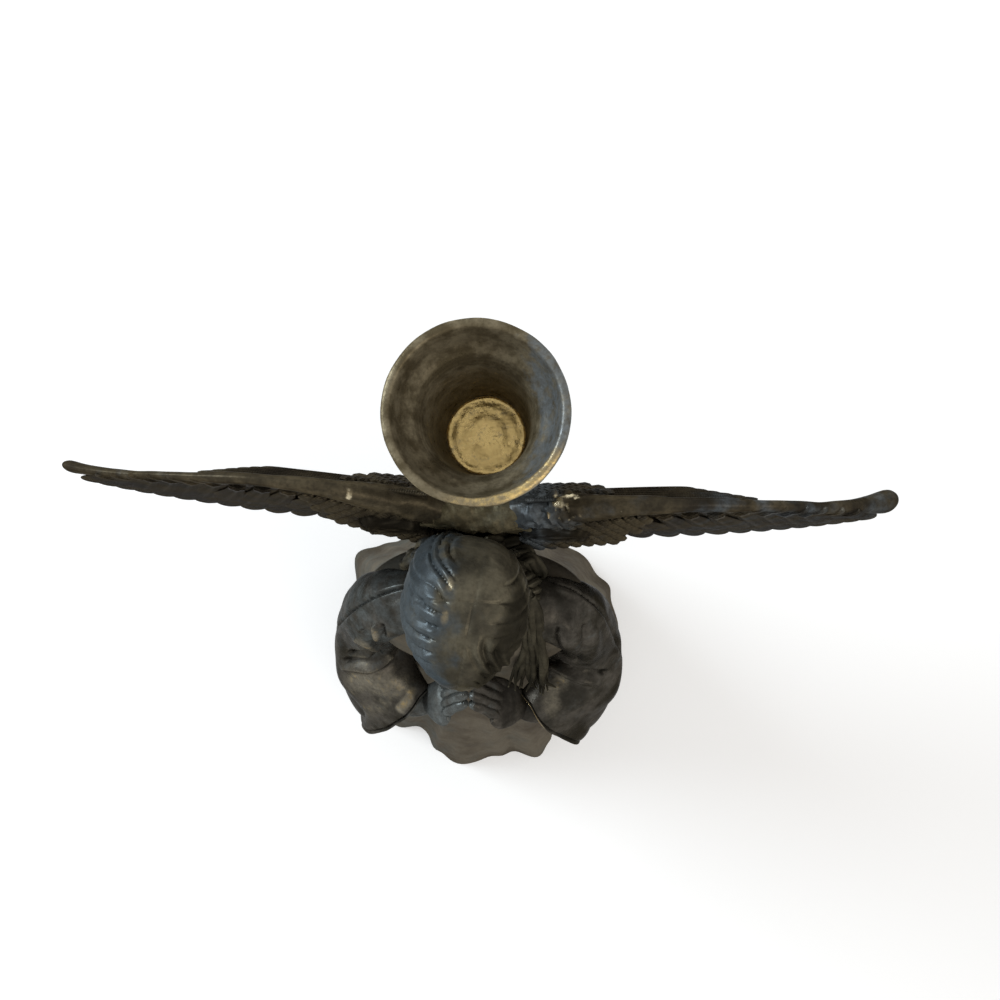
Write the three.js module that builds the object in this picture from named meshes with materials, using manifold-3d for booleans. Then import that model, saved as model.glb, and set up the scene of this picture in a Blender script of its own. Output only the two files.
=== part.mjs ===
// A cast metal candlestick in the shape of a praying angel.
//
// Millimetres, +Z up. The angel faces -Y and its own left side is +X. It stands on the hem of its gown.
// The wings are screwed to a bracket on the back, and the same bracket carries the candle cup behind the head.

import * as THREE from 'three';
import { LoftGeometry } from 'three/addons/geometries/LoftGeometry.js';
import { mergeVertices } from 'three/addons/utils/BufferGeometryUtils.js';
import Module from 'manifold-3d';

const wasm = await Module();
wasm.setup();

// Driving sizes: clearances and walls

const seatGap = 0.3; // between two castings where one rests on the other
const boreGap = 0.3; // round a screw or stud in its hole
const castWall = 3; // thickness of the hollow gown
const cuffWall = 1.8; // thickness of a sleeve at its mouth

// Driving sizes: gown, from the standing surface up

const hemToThigh = 58;
const thighToHip = 56;
const hipToWaist = 32;
const waistToChest = 24;
const chestToShoulder = 20;
const shoulderToCollar = 17;
const hemFlareHeight = 12;
const hemHalfWidth = 57;
const hemFront = 47;
const hemBack = 46;
const hemForward = 12; // the middle of the hem stands this far in front of the centre
const hemAside = 2.6; // and this far towards the right side
const hemFlare = 3; // how much the hem spreads in its last stretch
const foldAboveWaist = 6; // where the folds of the skirt begin
const hollowInset = 4; // extra wall at the hem, so that the plain hollow clears the troughs between the folds
const thighHalfWidth = 45;
const thighFront = 37;
const thighBack = 33;
const thighForward = 8;
const hipHalfWidth = 36;
const hipFront = 28;
const hipBack = 25;
const hipForward = 4;
const waistHalfWidth = 28;
const waistFront = 18.5;
const waistBack = 19;
const waistForward = 1;
const chestHalfWidth = 28;
const chestFront = 18;
const chestBack = 17.5;
const chestBackward = 0.5;
const shoulderHalfWidth = 31;
const shoulderFront = 15;
const shoulderBack = 16;
const shoulderBackward = 1;
const yokeHalfWidth = 23;
const yokeDepth = 12.2;
const yokeBackward = 1.5;
const yokeBelowCollar = 10;
const neckHalfWidth = 14.8;
const neckDepth = 10.8;
const neckBelowCollar = 5;
const collarRadius = 10.8;
const collarBack = 2; // the collar's axis lies this far behind the centre
const collarDepth = 7; // the socket in the collar that takes the neck
const shoulderCap = 7; // metal between the neck's seat and the hollow below it

// Driving sizes: head, hair and neck

const neckRadius = 8.5;
const neckToHead = 34; // neck seat to the middle of the head
const neckLength = 15.7;
const headForward = 2; // the middle of the head lies this far in front of the collar's axis
const headBow = 20; // degrees that the head is bowed
const headTurn = 9; // degrees that it is turned towards the right side
const headHalfHeight = 21;
const faceHalfWidth = 13;
const faceDepth = 16; // middle of the head to the front of the face
const hairHalfWidth = 16.8;
const hairFront = 16.8;
const hairBack = 17.2;
const hairNarrowing = 0.24; // share by which the hair is narrower towards the forehead
const noseLength = 3.3;
const lockHalfWidth = 6;
const lockFlatness = 0.42; // share of its width that a lock is thick
const leftLockLength = 35; // of the lock of hair that falls over the left shoulder
const napeHalfWidth = 18;
const napeBack = 14.5;
const napeFront = 6.5;
const neckStudReach = 7.5; // how far the stud stands up into the neck

// Driving sizes: arms and hands

const shoulderInset = 4; // the arm turns this far inside the side of the shoulder
const upperArm = 35; // shoulder down to the elbow
const elbowOut = 15.5; // how far the elbow stands out from the shoulder
const crookForward = 16.5;
const crookDrop = 28;
const cuffForward = 38.5; // shoulder to the hanging corner of the cuff
const cuffDrop = 71.5; // shoulder down to the hanging corner of the cuff
const cuffOpening = 38; // upper to hanging corner of the cuff, in height
const sleeveHalf = 10; // half the thickness of the sleeve at the elbow
const wristReach = 5.5; // mouth of the cuff to the wrist
const forearmInset = 8.5; // middle of the forearm below the crook edge of the cuff
const forearmRadius = 5;
const handLength = 19; // wrist to fingertips
const knuckleAside = 8.6; // the knuckles stand this far from the middle plane
const fingerPitch = 2.8;
const fingerOverlap = 0.2; // by which two neighbouring fingers run into each other
const fingersBack = 6.5; // how far the fingertips lean back from the knuckles
const thumbLength = 11;
const palmGap = 0.4; // between the two hands

// Driving sizes: wings

const wingHalfSpan = 108;
const wingRise = 50; // how far the top of a wing stands above the shoulder
const wingTipRise = 23; // how far its tip stands above the shoulder
const wingDrop = 62; // how far its lowest feather hangs below the shoulder
const wingSweep = 0.06; // how far a wing runs back for each millimetre outward
const wingTipCurl = 3.7; // how far its tip curls back
const flightFeathers = 16;
const featherHalfWidth = 5;
const featherThick = 1.8;
const featherNarrowing = 0.5; // share of its width that a feather has where it starts on the arm
const featherTwist = 9; // degrees that each feather is turned over the next
const layFeathers = 6; // long feathers laid along the back of the arm
const layHalfWidth = 4.2;
const layTwist = -10;
const layBack = 4.1; // the back face of the first of them lies this far behind the middle of the wing
const layStep = 0.45; // and each next one this much further
const layReach = 54;
const armRootRadius = 4.2;
const armMiddleRadius = 2.7;
const armTipRadius = 1.9;
const armDeepening = 1.25; // how much taller than thick the arm is
const coverThick = 1.6;
const rootBehindLug = 3.8; // the middle of the wing lies this far behind the middle of the lug
const rootBlockFront = 7.5; // from the middle of the wing
const rootBlockBack = 4.6;
const rootBlockWall = 6; // beyond the end of the lug

// Driving sizes: bracket and candle cup

const backFlat = 1.7; // how far the seat of the bracket stands out of the back
const bracketThick = 4.5;
const bracketFootHalfWidth = 11.5;
const bracketFootDrop = 30; // foot of the bracket below the shoulder
const lugReach = 24; // centre to the end of the lug in each wing
const lugHeight = 26;
const lugRise = 14; // lower edge of the lug above the shoulder
const bridgeHalfWidth = 10;
const bridgeSwell = 0.5; // by which the saddle is thicker in its middle
const bridgeSag = 1; // by which it hangs there
const shelfLength = 24.7; // from the front of the bracket to the axis of the cup
const shelfThick = 4.5;
const shelfHalfWidth = 5;
const shelfRise = 30; // top of the shelf above the shoulder
const padRadius = 9.5;
const cupBottom = 3.7; // metal under the candle
const candleSeatRadius = 9.65;
const throatRadius = 13.3;
const throatHeight = 26;
const mouthRadius = 19;
const cupDepth = 38;
const cupWall = 1.8;
const cupFootRadius = 11.6;

// Driving sizes: fasteners

const screwRadius = 1.5;
const screwHeadRadius = 3;
const screwHeadHeight = 1.8;
const studRadius = 2.2;
const washerThick = 1;
const washerRadius = 4.4;
const nutHeight = 2.6;
const nutRadius = 3.8; // centre to a corner

// Levels that follow from these sizes

const thighLevel = hemToThigh;
const hipLevel = thighLevel + thighToHip;
const waistLevel = hipLevel + hipToWaist;
const chestLevel = waistLevel + waistToChest;
const shoulderLevel = chestLevel + chestToShoulder;
const collarLevel = shoulderLevel + shoulderToCollar;
const neckSeatLevel = collarLevel - collarDepth;
const hollowTop = neckSeatLevel - shoulderCap;
const backSeat = chestBack + backFlat; // the flat on the angel's back that the bracket stands against
const fingerRadius = (fingerPitch + fingerOverlap) / 2;

const radians = THREE.MathUtils.degToRad;
const smooth = THREE.MathUtils.smoothstep;
const bell = (offset, width) => Math.exp(-((offset / width) ** 2));
const point = (x, y, z) => new THREE.Vector3(x, y, z);

// Solids: closed meshes are joined and cut, then handed back as geometry

function toSolid(geometry) {
	const bare = new THREE.BufferGeometry();
	bare.setAttribute('position', geometry.getAttribute('position').clone());
	bare.setIndex(geometry.index);
	const welded = mergeVertices(bare, 1e-4);
	return new wasm.Manifold(new wasm.Mesh({
		numProp: 3,
		vertProperties: new Float32Array(welded.attributes.position.array),
		triVerts: new Uint32Array(welded.index.array),
	}));
}

function toGeometry(solid) {
	const mesh = solid.getMesh();
	const geometry = new THREE.BufferGeometry();
	geometry.setAttribute('position', new THREE.BufferAttribute(mesh.vertProperties, mesh.numProp));
	geometry.setIndex(new THREE.BufferAttribute(mesh.triVerts, 1));
	geometry.computeVertexNormals();
	return geometry;
}

function join(solids) {
	return solids.reduce((whole, solid) => whole.add(solid));
}

function cut(solid, tools) {
	return tools.reduce((rest, tool) => rest.subtract(tool), solid);
}

// The same piece for the other side of the body
function mirrored(geometry) {
	const copy = geometry.clone().scale(-1, 1, 1);
	const index = copy.index.array;
	for (let i = 0; i < index.length; i += 3) {
		[index[i], index[i + 1]] = [index[i + 1], index[i]];
	}
	copy.computeVertexNormals();
	return copy;
}

function onBothSides(solid) {
	return [solid, toSolid(mirrored(toGeometry(solid)))];
}

// A closed skin over a row of rings, with its faces pointing out
function skin(rings) {
	const signedVolume = (geometry) => {
		const { position } = geometry.attributes;
		const at = (i) => new THREE.Vector3().fromBufferAttribute(position, geometry.index.getX(i));
		let volume = 0;
		for (let i = 0; i < geometry.index.count; i += 3) {
			volume += at(i).dot(at(i + 1).cross(at(i + 2)));
		}
		return volume;
	};
	const ends = { capStart: true, capEnd: true };
	const geometry = new LoftGeometry(rings, ends);
	if (signedVolume(geometry) > 0) {
		return toSolid(geometry);
	}
	return toSolid(new LoftGeometry(rings.map((ring) => ring.slice().reverse()), ends));
}

function ringOf(count, place) {
	return Array.from({ length: count }, (_, i) => place((2 * Math.PI * i) / count));
}

// A smooth curve through the stations' numbers, read at a share of the way along them
function through(values, share) {
	const curve = new THREE.SplineCurve(values.map((value, i) => new THREE.Vector2(i, value)));
	return curve.getPoint(share).y;
}

// All the numbers of a row of stations, read at a share of the way along them
function between(stations, share) {
	return Object.fromEntries(Object.keys(stations[0]).map((key) => [
		key,
		through(stations.map((station) => station[key]), share),
	]));
}

function rod(radius, from, to, sides = 10) {
	const length = from.distanceTo(to);
	const geometry = new THREE.CylinderGeometry(radius, radius, length, sides);
	const turn = new THREE.Quaternion().setFromUnitVectors(point(0, 1, 0), to.clone().sub(from).normalize());
	geometry.applyQuaternion(turn);
	const middle = from.clone().add(to).multiplyScalar(0.5);
	geometry.translate(middle.x, middle.y, middle.z);
	return toSolid(geometry);
}

function block(low, high) {
	const geometry = new THREE.BoxGeometry(high.x - low.x, high.y - low.y, high.z - low.z);
	geometry.translate((low.x + high.x) / 2, (low.y + high.y) / 2, (low.z + high.z) / 2);
	return toSolid(geometry);
}

// Gown: a flared, folded skin that narrows at the waist and closes in to the collar.
// Angles run round the body from the front (0) over the angel's left (90) to the back (180).

const gownColumns = 52;
const hollowColumns = 40;
const squareness = 0.9; // below 1 the oval of the body is squared a little
const foldTop = waistLevel + foldAboveWaist;
const foldSpread = (level) => Math.max(0, 1 - level / foldTop) ** 1.15; // 1 at the hem, 0 above the waist

// Folds that flare to the hem. Those of negative depth are troughs.
const folds = [
	{ angle: -4, depth: 7.8, width: 8.5 },
	{ angle: 22, depth: 6, width: 6.5 },
	{ angle: -27, depth: -4.5, width: 10 },
	{ angle: 40, depth: -4, width: 10 },
	{ angle: -48, depth: 3.5, width: 10 },
	{ angle: 62, depth: 2.5, width: 12 },
	{ angle: -89, depth: 3.6, width: 9 },
	{ angle: -124, depth: 5.5, width: 11 },
	{ angle: 98, depth: 2.2, width: 14 },
	{ angle: -152, depth: 3, width: 10 },
	{ angle: 138, depth: 2.2, width: 12 },
	{ angle: 180, depth: 3.5, width: 13 },
];

// Pleats that hang from the waist or higher, and drift round the body by some degrees on their way up
const pleats = [
	{ angle: -32, depth: 2.6, drift: 5 },
	{ angle: 9, depth: 2.4, drift: -4 },
	{ angle: 43, depth: 2.6, drift: 6 },
	{ angle: -70, depth: 2.8, drift: -5 },
	{ angle: 78, depth: 2.6, drift: 6 },
	{ angle: -106, depth: 2.2, drift: 6 },
	{ angle: 118, depth: 2.6, drift: -6 },
	{ angle: -167, depth: 2.6, drift: 5 },
	{ angle: 160, depth: 2.6, drift: -5 },
];
const pleatWidth = 5.5;
const pleatTop = foldTop - 2;

const gownStations = [
	{ level: 0, halfWidth: hemHalfWidth, front: hemFront, back: hemBack, middle: -hemForward },
	{
		level: hemFlareHeight, halfWidth: hemHalfWidth - hemFlare, front: hemFront - hemFlare,
		back: hemBack - hemFlare, middle: -hemForward,
	},
	{ level: thighLevel, halfWidth: thighHalfWidth, front: thighFront, back: thighBack, middle: -thighForward },
	{ level: hipLevel, halfWidth: hipHalfWidth, front: hipFront, back: hipBack, middle: -hipForward },
	{ level: waistLevel, halfWidth: waistHalfWidth, front: waistFront, back: waistBack, middle: -waistForward },
	{ level: chestLevel, halfWidth: chestHalfWidth, front: chestFront, back: chestBack, middle: chestBackward },
	{
		level: shoulderLevel, halfWidth: shoulderHalfWidth, front: shoulderFront, back: shoulderBack,
		middle: shoulderBackward,
	},
	{
		level: collarLevel - yokeBelowCollar, halfWidth: yokeHalfWidth, front: yokeDepth, back: yokeDepth,
		middle: yokeBackward,
	},
	{
		level: collarLevel - neckBelowCollar, halfWidth: neckHalfWidth, front: neckDepth, back: neckDepth,
		middle: collarBack,
	},
	{ level: collarLevel, halfWidth: collarRadius, front: collarRadius, back: collarRadius, middle: collarBack },
];

// How far the folds and pleats stand out of the plain body at an angle in degrees
function drape(degrees, level) {
	const apart = (from) => THREE.MathUtils.euclideanModulo(degrees - from + 180, 360) - 180;
	const spread = foldSpread(level);
	const hang = Math.max(0, 1 - level / pleatTop) ** 0.7;
	let rise = 0;
	for (const { angle, depth, width } of folds) {
		rise += depth * spread * bell(apart(angle), width);
	}
	for (const { angle, depth, drift } of pleats) {
		const turn = apart(angle + (drift * level) / 100);
		rise += depth * hang * (bell(turn, pleatWidth) - 0.4 * bell(turn, 2.4 * pleatWidth));
	}
	return rise;
}

function gownPoint(angle, { level, halfWidth, front, back, middle }, grow) {
	const side = Math.sin(angle);
	const ahead = Math.cos(angle);
	const depth = ahead > 0 ? front : back;
	const x = halfWidth * Math.sign(side) * Math.abs(side) ** squareness;
	const y = -depth * Math.sign(ahead) * Math.abs(ahead) ** squareness;
	const outward = point(x, y, 0).normalize();
	const spread = foldSpread(level);
	const rise = grow + (grow < 0 ? -hollowInset * spread : drape(THREE.MathUtils.radToDeg(angle), level));
	return point(x + outward.x * rise - hemAside * spread, middle + y + outward.y * rise, level);
}

// The outer form of the gown, grown to cut seats into what rests on it, or shrunk to its hollow
function gownForm(grow, top = 1, rows = 14, columns = gownColumns) {
	const rings = [];
	for (let row = 0; row <= rows; row++) {
		const section = between(gownStations, (top * row) / rows);
		rings.push(ringOf(columns, (angle) => gownPoint(angle, section, grow)));
	}
	const lift = grow > 0 ? grow : 0;
	rings[0].forEach((corner) => { corner.z = -lift - (grow < 0 ? 1 : 0); });
	rings[rings.length - 1].forEach((corner) => { corner.z += lift; });
	return skin(rings);
}

const backPadHalfWidth = bracketFootHalfWidth - 1;
const backPadBottom = shoulderLevel - bracketFootDrop + 2;
const backPadTop = shoulderLevel - 4;
const bracketScrewLevels = [backPadTop - 6, backPadBottom + 6];
const nutSeat = backSeat - castWall - 0.3;
const armScrewLevel = shoulderLevel - 13;
const armScrewSeat = chestHalfWidth - castWall - 1.2;

function gownBody() {
	const hollowShare = 0.72;
	const pad = block(
		point(-backPadHalfWidth, 0, backPadBottom),
		point(backPadHalfWidth, backSeat - seatGap, backPadTop),
	);
	const hollow = cut(gownForm(-castWall, hollowShare, 7, hollowColumns), [
		block(point(-hemHalfWidth, -hemFront, hollowTop), point(hemHalfWidth, hemBack, collarLevel)),
	]);
	const tools = [
		hollow,
		rod(neckRadius + seatGap, point(0, collarBack, neckSeatLevel), point(0, collarBack, collarLevel + 1), 28),
		rod(studRadius + boreGap, point(0, collarBack, hollowTop - 2), point(0, collarBack, neckSeatLevel + 1)),
		rod(washerRadius + 1, point(0, collarBack, hollowTop - 9), point(0, collarBack, hollowTop), 16),
	];
	for (const level of bracketScrewLevels) {
		tools.push(rod(screwRadius + boreGap, point(0, nutSeat - 1, level), point(0, backSeat + 1, level)));
		tools.push(rod(nutRadius + 0.6, point(0, nutSeat - 8, level), point(0, nutSeat, level), 16));
	}
	for (const side of [-1, 1]) {
		const inside = side * (armScrewSeat - 6);
		tools.push(rod(screwRadius + boreGap, point(inside, 0, armScrewLevel), point(side * 40, 0, armScrewLevel)));
		tools.push(rod(
			screwHeadRadius + 0.6,
			point(inside, 0, armScrewLevel),
			point(side * armScrewSeat, 0, armScrewLevel),
			16,
		));
	}
	return cut(gownForm(0).add(pad), tools);
}

// Bracket: a plate on the back with a lug for each wing, a bridge at the top and a shelf for the cup

const bracketBack = backSeat + bracketThick;
const lugBottom = shoulderLevel + lugRise;
const lugTop = lugBottom + lugHeight;
const cupAxis = backSeat + shelfLength;
const padTop = shoulderLevel + shelfRise;
const padBottom = padTop - shelfThick;
const rootMiddle = backSeat + bracketThick / 2 + rootBehindLug; // middle of a wing at the end of its root
const rootBlockInner = bridgeHalfWidth + seatGap;
const rootBlockOuter = lugReach + rootBlockWall;
const armStartLevel = lugTop - 1.5;
const armStartBack = rootMiddle - wingSweep * (rootBlockOuter - rootBlockInner);

// The saddle between the wings carries on the section of their arms, and is thicker in its middle
function bridgeForm(grow) {
	const rings = [];
	const steps = 8;
	for (let step = 0; step <= steps; step++) {
		const along = (2 * step) / steps - 1;
		const swell = 1 - along ** 2;
		const thick = armRootRadius + bridgeSwell * swell + grow;
		const tall = armRootRadius * armDeepening - bridgeSwell * swell + grow;
		rings.push(ringOf(14, (angle) => point(
			along * (bridgeHalfWidth + grow),
			armStartBack - bridgeSwell * swell + Math.sin(angle) * thick,
			armStartLevel - bridgeSag * swell + Math.cos(angle) * tall,
		)));
	}
	return skin(rings);
}

function bracketForm(grow) {
	const plate = new THREE.Shape();
	const foot = bracketFootHalfWidth + grow;
	const reach = lugReach + grow;
	const bottom = shoulderLevel - bracketFootDrop - grow;
	plate.moveTo(-foot, bottom);
	plate.lineTo(foot, bottom);
	plate.lineTo(foot, lugBottom - grow - 4);
	plate.quadraticCurveTo(foot, lugBottom - grow, foot + 4, lugBottom - grow);
	plate.lineTo(reach, lugBottom - grow);
	plate.lineTo(reach, lugTop + grow);
	plate.lineTo(-reach, lugTop + grow);
	plate.lineTo(-reach, lugBottom - grow);
	plate.lineTo(-foot - 4, lugBottom - grow);
	plate.quadraticCurveTo(-foot, lugBottom - grow, -foot, lugBottom - grow - 4);
	plate.closePath();
	const plateGeometry = new THREE.ExtrudeGeometry(plate, {
		depth: bracketThick + 2 * grow, bevelEnabled: false, curveSegments: 4,
	});
	plateGeometry.rotateX(Math.PI / 2).translate(0, bracketBack + grow, 0);
	const shelf = block(
		point(-shelfHalfWidth - grow, bracketBack - 1, padBottom - 2 - grow),
		point(shelfHalfWidth + grow, cupAxis, padTop + grow),
	);
	const pad = rod(padRadius + grow, point(0, cupAxis, padBottom - grow), point(0, cupAxis, padTop + grow), 28);
	return join([toSolid(plateGeometry), bridgeForm(grow), shelf, pad]);
}

function wingBracket() {
	const tools = bracketScrewLevels.map((level) => rod(
		screwRadius + boreGap,
		point(0, backSeat - 1, level),
		point(0, bracketBack + 1, level),
	));
	for (const place of wingScrewPlaces) {
		for (const side of [-1, 1]) {
			tools.push(rod(
				screwRadius + boreGap,
				point(side * place.x, backSeat - 1, place.z),
				point(side * place.x, bracketBack + 1, place.z),
			));
		}
	}
	tools.push(rod(
		studRadius + boreGap,
		point(0, cupAxis, padBottom - 3),
		point(0, cupAxis, padTop + 1),
	));
	tools.push(rod(washerRadius + 1, point(0, cupAxis, padBottom - 9), point(0, cupAxis, padBottom), 20));
	return cut(bracketForm(0), tools);
}

// Candle cup: turned, with a tapered socket, a flared mouth and a rolled lip

function candleCup() {
	const floor = padTop + seatGap + cupBottom;
	const hole = studRadius + boreGap;
	const lip = 1.25;
	const outline = [
		[hole, -cupBottom],
		[cupFootRadius, -cupBottom],
		[cupFootRadius + 0.9, -cupBottom + 1.3],
		[candleSeatRadius + cupWall, 2.4],
		[candleSeatRadius + cupWall + 0.7, throatHeight * 0.5],
		[throatRadius + cupWall - 0.9, throatHeight * 0.85],
		[throatRadius + cupWall + 1.6, throatHeight + 3],
		[mouthRadius + cupWall - 1.3, cupDepth - 5.5],
		[mouthRadius + cupWall, cupDepth - 2.8],
		[mouthRadius + lip * 2, cupDepth - lip],
		[mouthRadius + lip * 1.75, cupDepth - lip * 0.35],
		[mouthRadius + lip, cupDepth],
		[mouthRadius + lip * 0.3, cupDepth - lip * 0.35],
		[mouthRadius, cupDepth - lip * 1.2],
		[mouthRadius - 1.3, cupDepth - 6],
		[throatRadius + 1.9, throatHeight + 2.6],
		[throatRadius + 0.5, throatHeight + 0.5],
		[throatRadius, throatHeight - 1],
		[candleSeatRadius + 0.4, 0.8],
		[candleSeatRadius, 0],
		[hole, 0],
		[hole, -cupBottom],
	].map(([radius, height]) => new THREE.Vector2(radius, height));
	const geometry = new THREE.LatheGeometry(outline, 26);
	geometry.rotateX(Math.PI / 2).translate(0, cupAxis, floor);
	return toSolid(geometry);
}

// Wings: flight feathers fanned from a tapered arm, three rows of short feathers over them,
// and a block at the root that slides over the bracket's lug

const wingScrewPlaces = [
	{ x: lugReach - 6, z: lugTop - 5.5 },
	{ x: lugReach - 6, z: lugBottom + 5.5 },
];

// The arm, seen from the front
const armPath = new THREE.SplineCurve([
	new THREE.Vector2(rootBlockInner, armStartLevel),
	new THREE.Vector2(lugReach - 1, shoulderLevel + wingRise * 0.92),
	new THREE.Vector2(wingHalfSpan * 0.35, shoulderLevel + wingRise * 1.05),
	new THREE.Vector2(wingHalfSpan * 0.51, shoulderLevel + wingRise * 1.07),
	new THREE.Vector2(wingHalfSpan * 0.685, shoulderLevel + wingRise * 0.93),
	new THREE.Vector2(wingHalfSpan * 0.843, shoulderLevel + wingRise * 0.7),
	new THREE.Vector2(wingHalfSpan, shoulderLevel + wingTipRise),
]);

// The lines that the flight feathers start from and end on
const featherRoots = new THREE.CubicBezierCurve(
	new THREE.Vector2(rootBlockInner + 7, lugBottom + 6),
	new THREE.Vector2(rootBlockInner + 12, shoulderLevel + wingRise * 1.34),
	new THREE.Vector2(wingHalfSpan * 0.66, shoulderLevel + wingRise * 1.19),
	new THREE.Vector2(wingHalfSpan - 4, shoulderLevel + wingTipRise - 2),
);
const featherTips = new THREE.CubicBezierCurve(
	new THREE.Vector2(rootBlockInner + 9, shoulderLevel - wingDrop + 10),
	new THREE.Vector2(wingHalfSpan * 0.38, shoulderLevel - wingDrop * 1.28),
	new THREE.Vector2(wingHalfSpan * 0.83, shoulderLevel - wingDrop * 0.97),
	new THREE.Vector2(wingHalfSpan - 5, shoulderLevel + wingTipRise - 4),
);

// Rows of short feathers on both faces, each thicker and shorter than the one under it
const covertRows = [
	{ reach: 0.6, layers: 1, last: 13 },
	{ reach: 0.4, layers: 2, last: 9 },
	{ reach: 0.22, layers: 3, last: 6 },
];

const tipSteps = 4; // faces round the blunt tip of a feather
const tuck = 0.14; // share of its length by which a flight feather runs in under the rows that cover its root

function featherLine(number) {
	const share = number / (flightFeathers - 1);
	return { root: featherRoots.getPointAt(0.04 + 0.82 * share), tip: featherTips.getPointAt(share) };
}

// A blunt feather from root to tip, seen from the front. Its faces lie that far behind the wing's middle.
function feather(root, tip, halfWidth, narrowing, frontFace, backFace, twist) {
	const length = root.distanceTo(tip);
	const outline = new THREE.Shape();
	const tipLength = 1.5 * halfWidth;
	outline.moveTo(0, -halfWidth * narrowing);
	for (let step = 0; step <= tipSteps; step++) {
		const turn = Math.PI * (step / tipSteps - 0.5);
		outline.lineTo(length - tipLength * (1 - Math.cos(turn)), halfWidth * Math.sin(turn));
	}
	outline.lineTo(0, halfWidth * narrowing);
	outline.closePath();
	const geometry = new THREE.ExtrudeGeometry(outline, { depth: backFace - frontFace, bevelEnabled: false });
	geometry.translate(0, 0, -backFace).rotateX(radians(twist));
	const along = tip.clone().sub(root).normalize();
	const placed = new THREE.Matrix4().makeBasis(
		point(along.x, 0, along.y),
		point(-along.y, 0, along.x),
		point(0, -1, 0),
	).setPosition(root.x, 0, root.y);
	return toSolid(geometry.applyMatrix4(placed));
}

// A row of short feathers as one plate with a scalloped edge all round its free sides
function covertRow({ reach, layers, last }) {
	const edge = (number, share) => {
		const { root, tip } = featherLine(number);
		return root.clone().lerp(tip, share);
	};
	const outline = new THREE.Shape();
	const start = edge(0, reach - 0.06);
	outline.moveTo(start.x, start.y);
	for (let number = 0; number < last; number++) {
		const lobe = edge(number + 0.5, reach + 0.08);
		const notch = edge(number + 1, reach - 0.04);
		outline.quadraticCurveTo(lobe.x, lobe.y, notch.x, notch.y);
	}
	for (let number = last; number >= 0; number -= 2) {
		const onArm = edge(number, 0.01);
		outline.lineTo(onArm.x, onArm.y);
	}
	outline.closePath();
	const thick = featherThick + 2 * coverThick * (1 + (layers - 1) / 2);
	const geometry = new THREE.ExtrudeGeometry(outline, { depth: thick, bevelEnabled: false, curveSegments: 2 });
	geometry.rotateX(Math.PI / 2).translate(0, thick / 2, 0);
	return toSolid(geometry);
}

// Long feathers laid one under the other along the back of the arm, whose ends make a step half way out
function layFeather(number) {
	const root = new THREE.Vector2(rootBlockInner + 1.7 + 2.5 * number, lugTop + 5.5 - 5.5 * number);
	const tip = root.clone().add(new THREE.Vector2(layReach - 5.7 * number, -2.5 + 1.5 * number));
	return feather(root, tip, layHalfWidth, featherNarrowing, 0, layBack + layStep * number, layTwist);
}

function wingArm() {
	const rings = [];
	const steps = 13;
	const radii = [armRootRadius, 3.6, armMiddleRadius, 2.1, 2, armTipRadius, armTipRadius];
	for (let step = 0; step <= steps; step++) {
		const share = step / steps;
		const place = armPath.getPoint(share);
		const level = 1 - smooth(share, 0, 0.15); // the arm leaves the bridge without a kink
		const along = armPath.getTangent(share).lerp(new THREE.Vector2(1, 0), level).normalize();
		const round = Math.sqrt(1 - Math.max(0, (share - 0.93) / 0.0705) ** 2);
		const half = through(radii, share) * round;
		const curl = wingTipCurl * smooth(share, 0.75, 1.1);
		rings.push(ringOf(8, (angle) => {
			const up = Math.cos(angle) * half * armDeepening;
			return point(
				place.x - along.y * up,
				curl + Math.sin(angle) * half,
				place.y + along.x * up,
			);
		}));
	}
	return skin(rings);
}

const rootBlockLow = lugBottom - 5;
const rootBlockHigh = lugTop + 1;
const wingScrewSeat = rootMiddle + rootBlockBack - screwHeadHeight - 0.6;

function rootBlock(grow) {
	const inner = rootBlockInner - grow;
	const outer = rootBlockOuter + grow;
	const low = rootBlockLow - grow;
	const high = rootBlockHigh + grow;
	const outline = new THREE.Shape();
	outline.moveTo(inner, low);
	outline.lineTo(outer - 8, low);
	outline.quadraticCurveTo(outer, low, outer, low + 12);
	outline.lineTo(outer, high - 6);
	outline.quadraticCurveTo(outer, high, outer - 8, high);
	outline.lineTo(inner, high);
	outline.closePath();
	const geometry = new THREE.ExtrudeGeometry(outline, {
		depth: rootBlockFront + rootBlockBack + 2 * grow, bevelEnabled: false, curveSegments: 4,
	});
	geometry.rotateX(Math.PI / 2).translate(0, rootMiddle + rootBlockBack + grow, 0);
	return toSolid(geometry);
}

function leftWing() {
	const feathers = [];
	for (let number = 0; number < flightFeathers; number++) {
		const { root, tip } = featherLine(number);
		const half = featherThick / 2;
		if (number < covertRows[0].last) {
			root.lerp(tip, covertRows[0].reach - tuck);
			feathers.push(feather(root, tip, featherHalfWidth, 1, -half, half, featherTwist));
		} else {
			feathers.push(feather(root, tip, featherHalfWidth, featherNarrowing, -half, half, featherTwist));
		}
	}
	for (let number = 0; number < layFeathers; number++) {
		feathers.push(layFeather(number));
	}
	const fan = toGeometry(join([...feathers, ...covertRows.map(covertRow), wingArm()]));
	const lean = new THREE.Matrix4().makeShear(wingSweep, 0, 0, 0, 0, 0);
	fan.applyMatrix4(lean).translate(0, rootMiddle - wingSweep * rootBlockOuter, 0);
	const tools = [bracketForm(seatGap), ...onBothSides(gownForm(seatGap))];
	for (const place of wingScrewPlaces) {
		const clear = rootMiddle + rootBlockBack + 6;
		tools.push(rod(
			screwRadius + boreGap,
			point(place.x, bracketBack - 1, place.z),
			point(place.x, clear, place.z),
		));
		tools.push(rod(
			screwHeadRadius + boreGap,
			point(place.x, wingScrewSeat, place.z),
			point(place.x, clear, place.z),
			16,
		));
	}
	return cut(toSolid(fan).add(rootBlock(0)), tools);
}

// Head: one skin from the hair on the shoulders over the face to the crown.
// The face lies in a window of the hair, and both are worked out in the head's own bowed frame.

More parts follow.
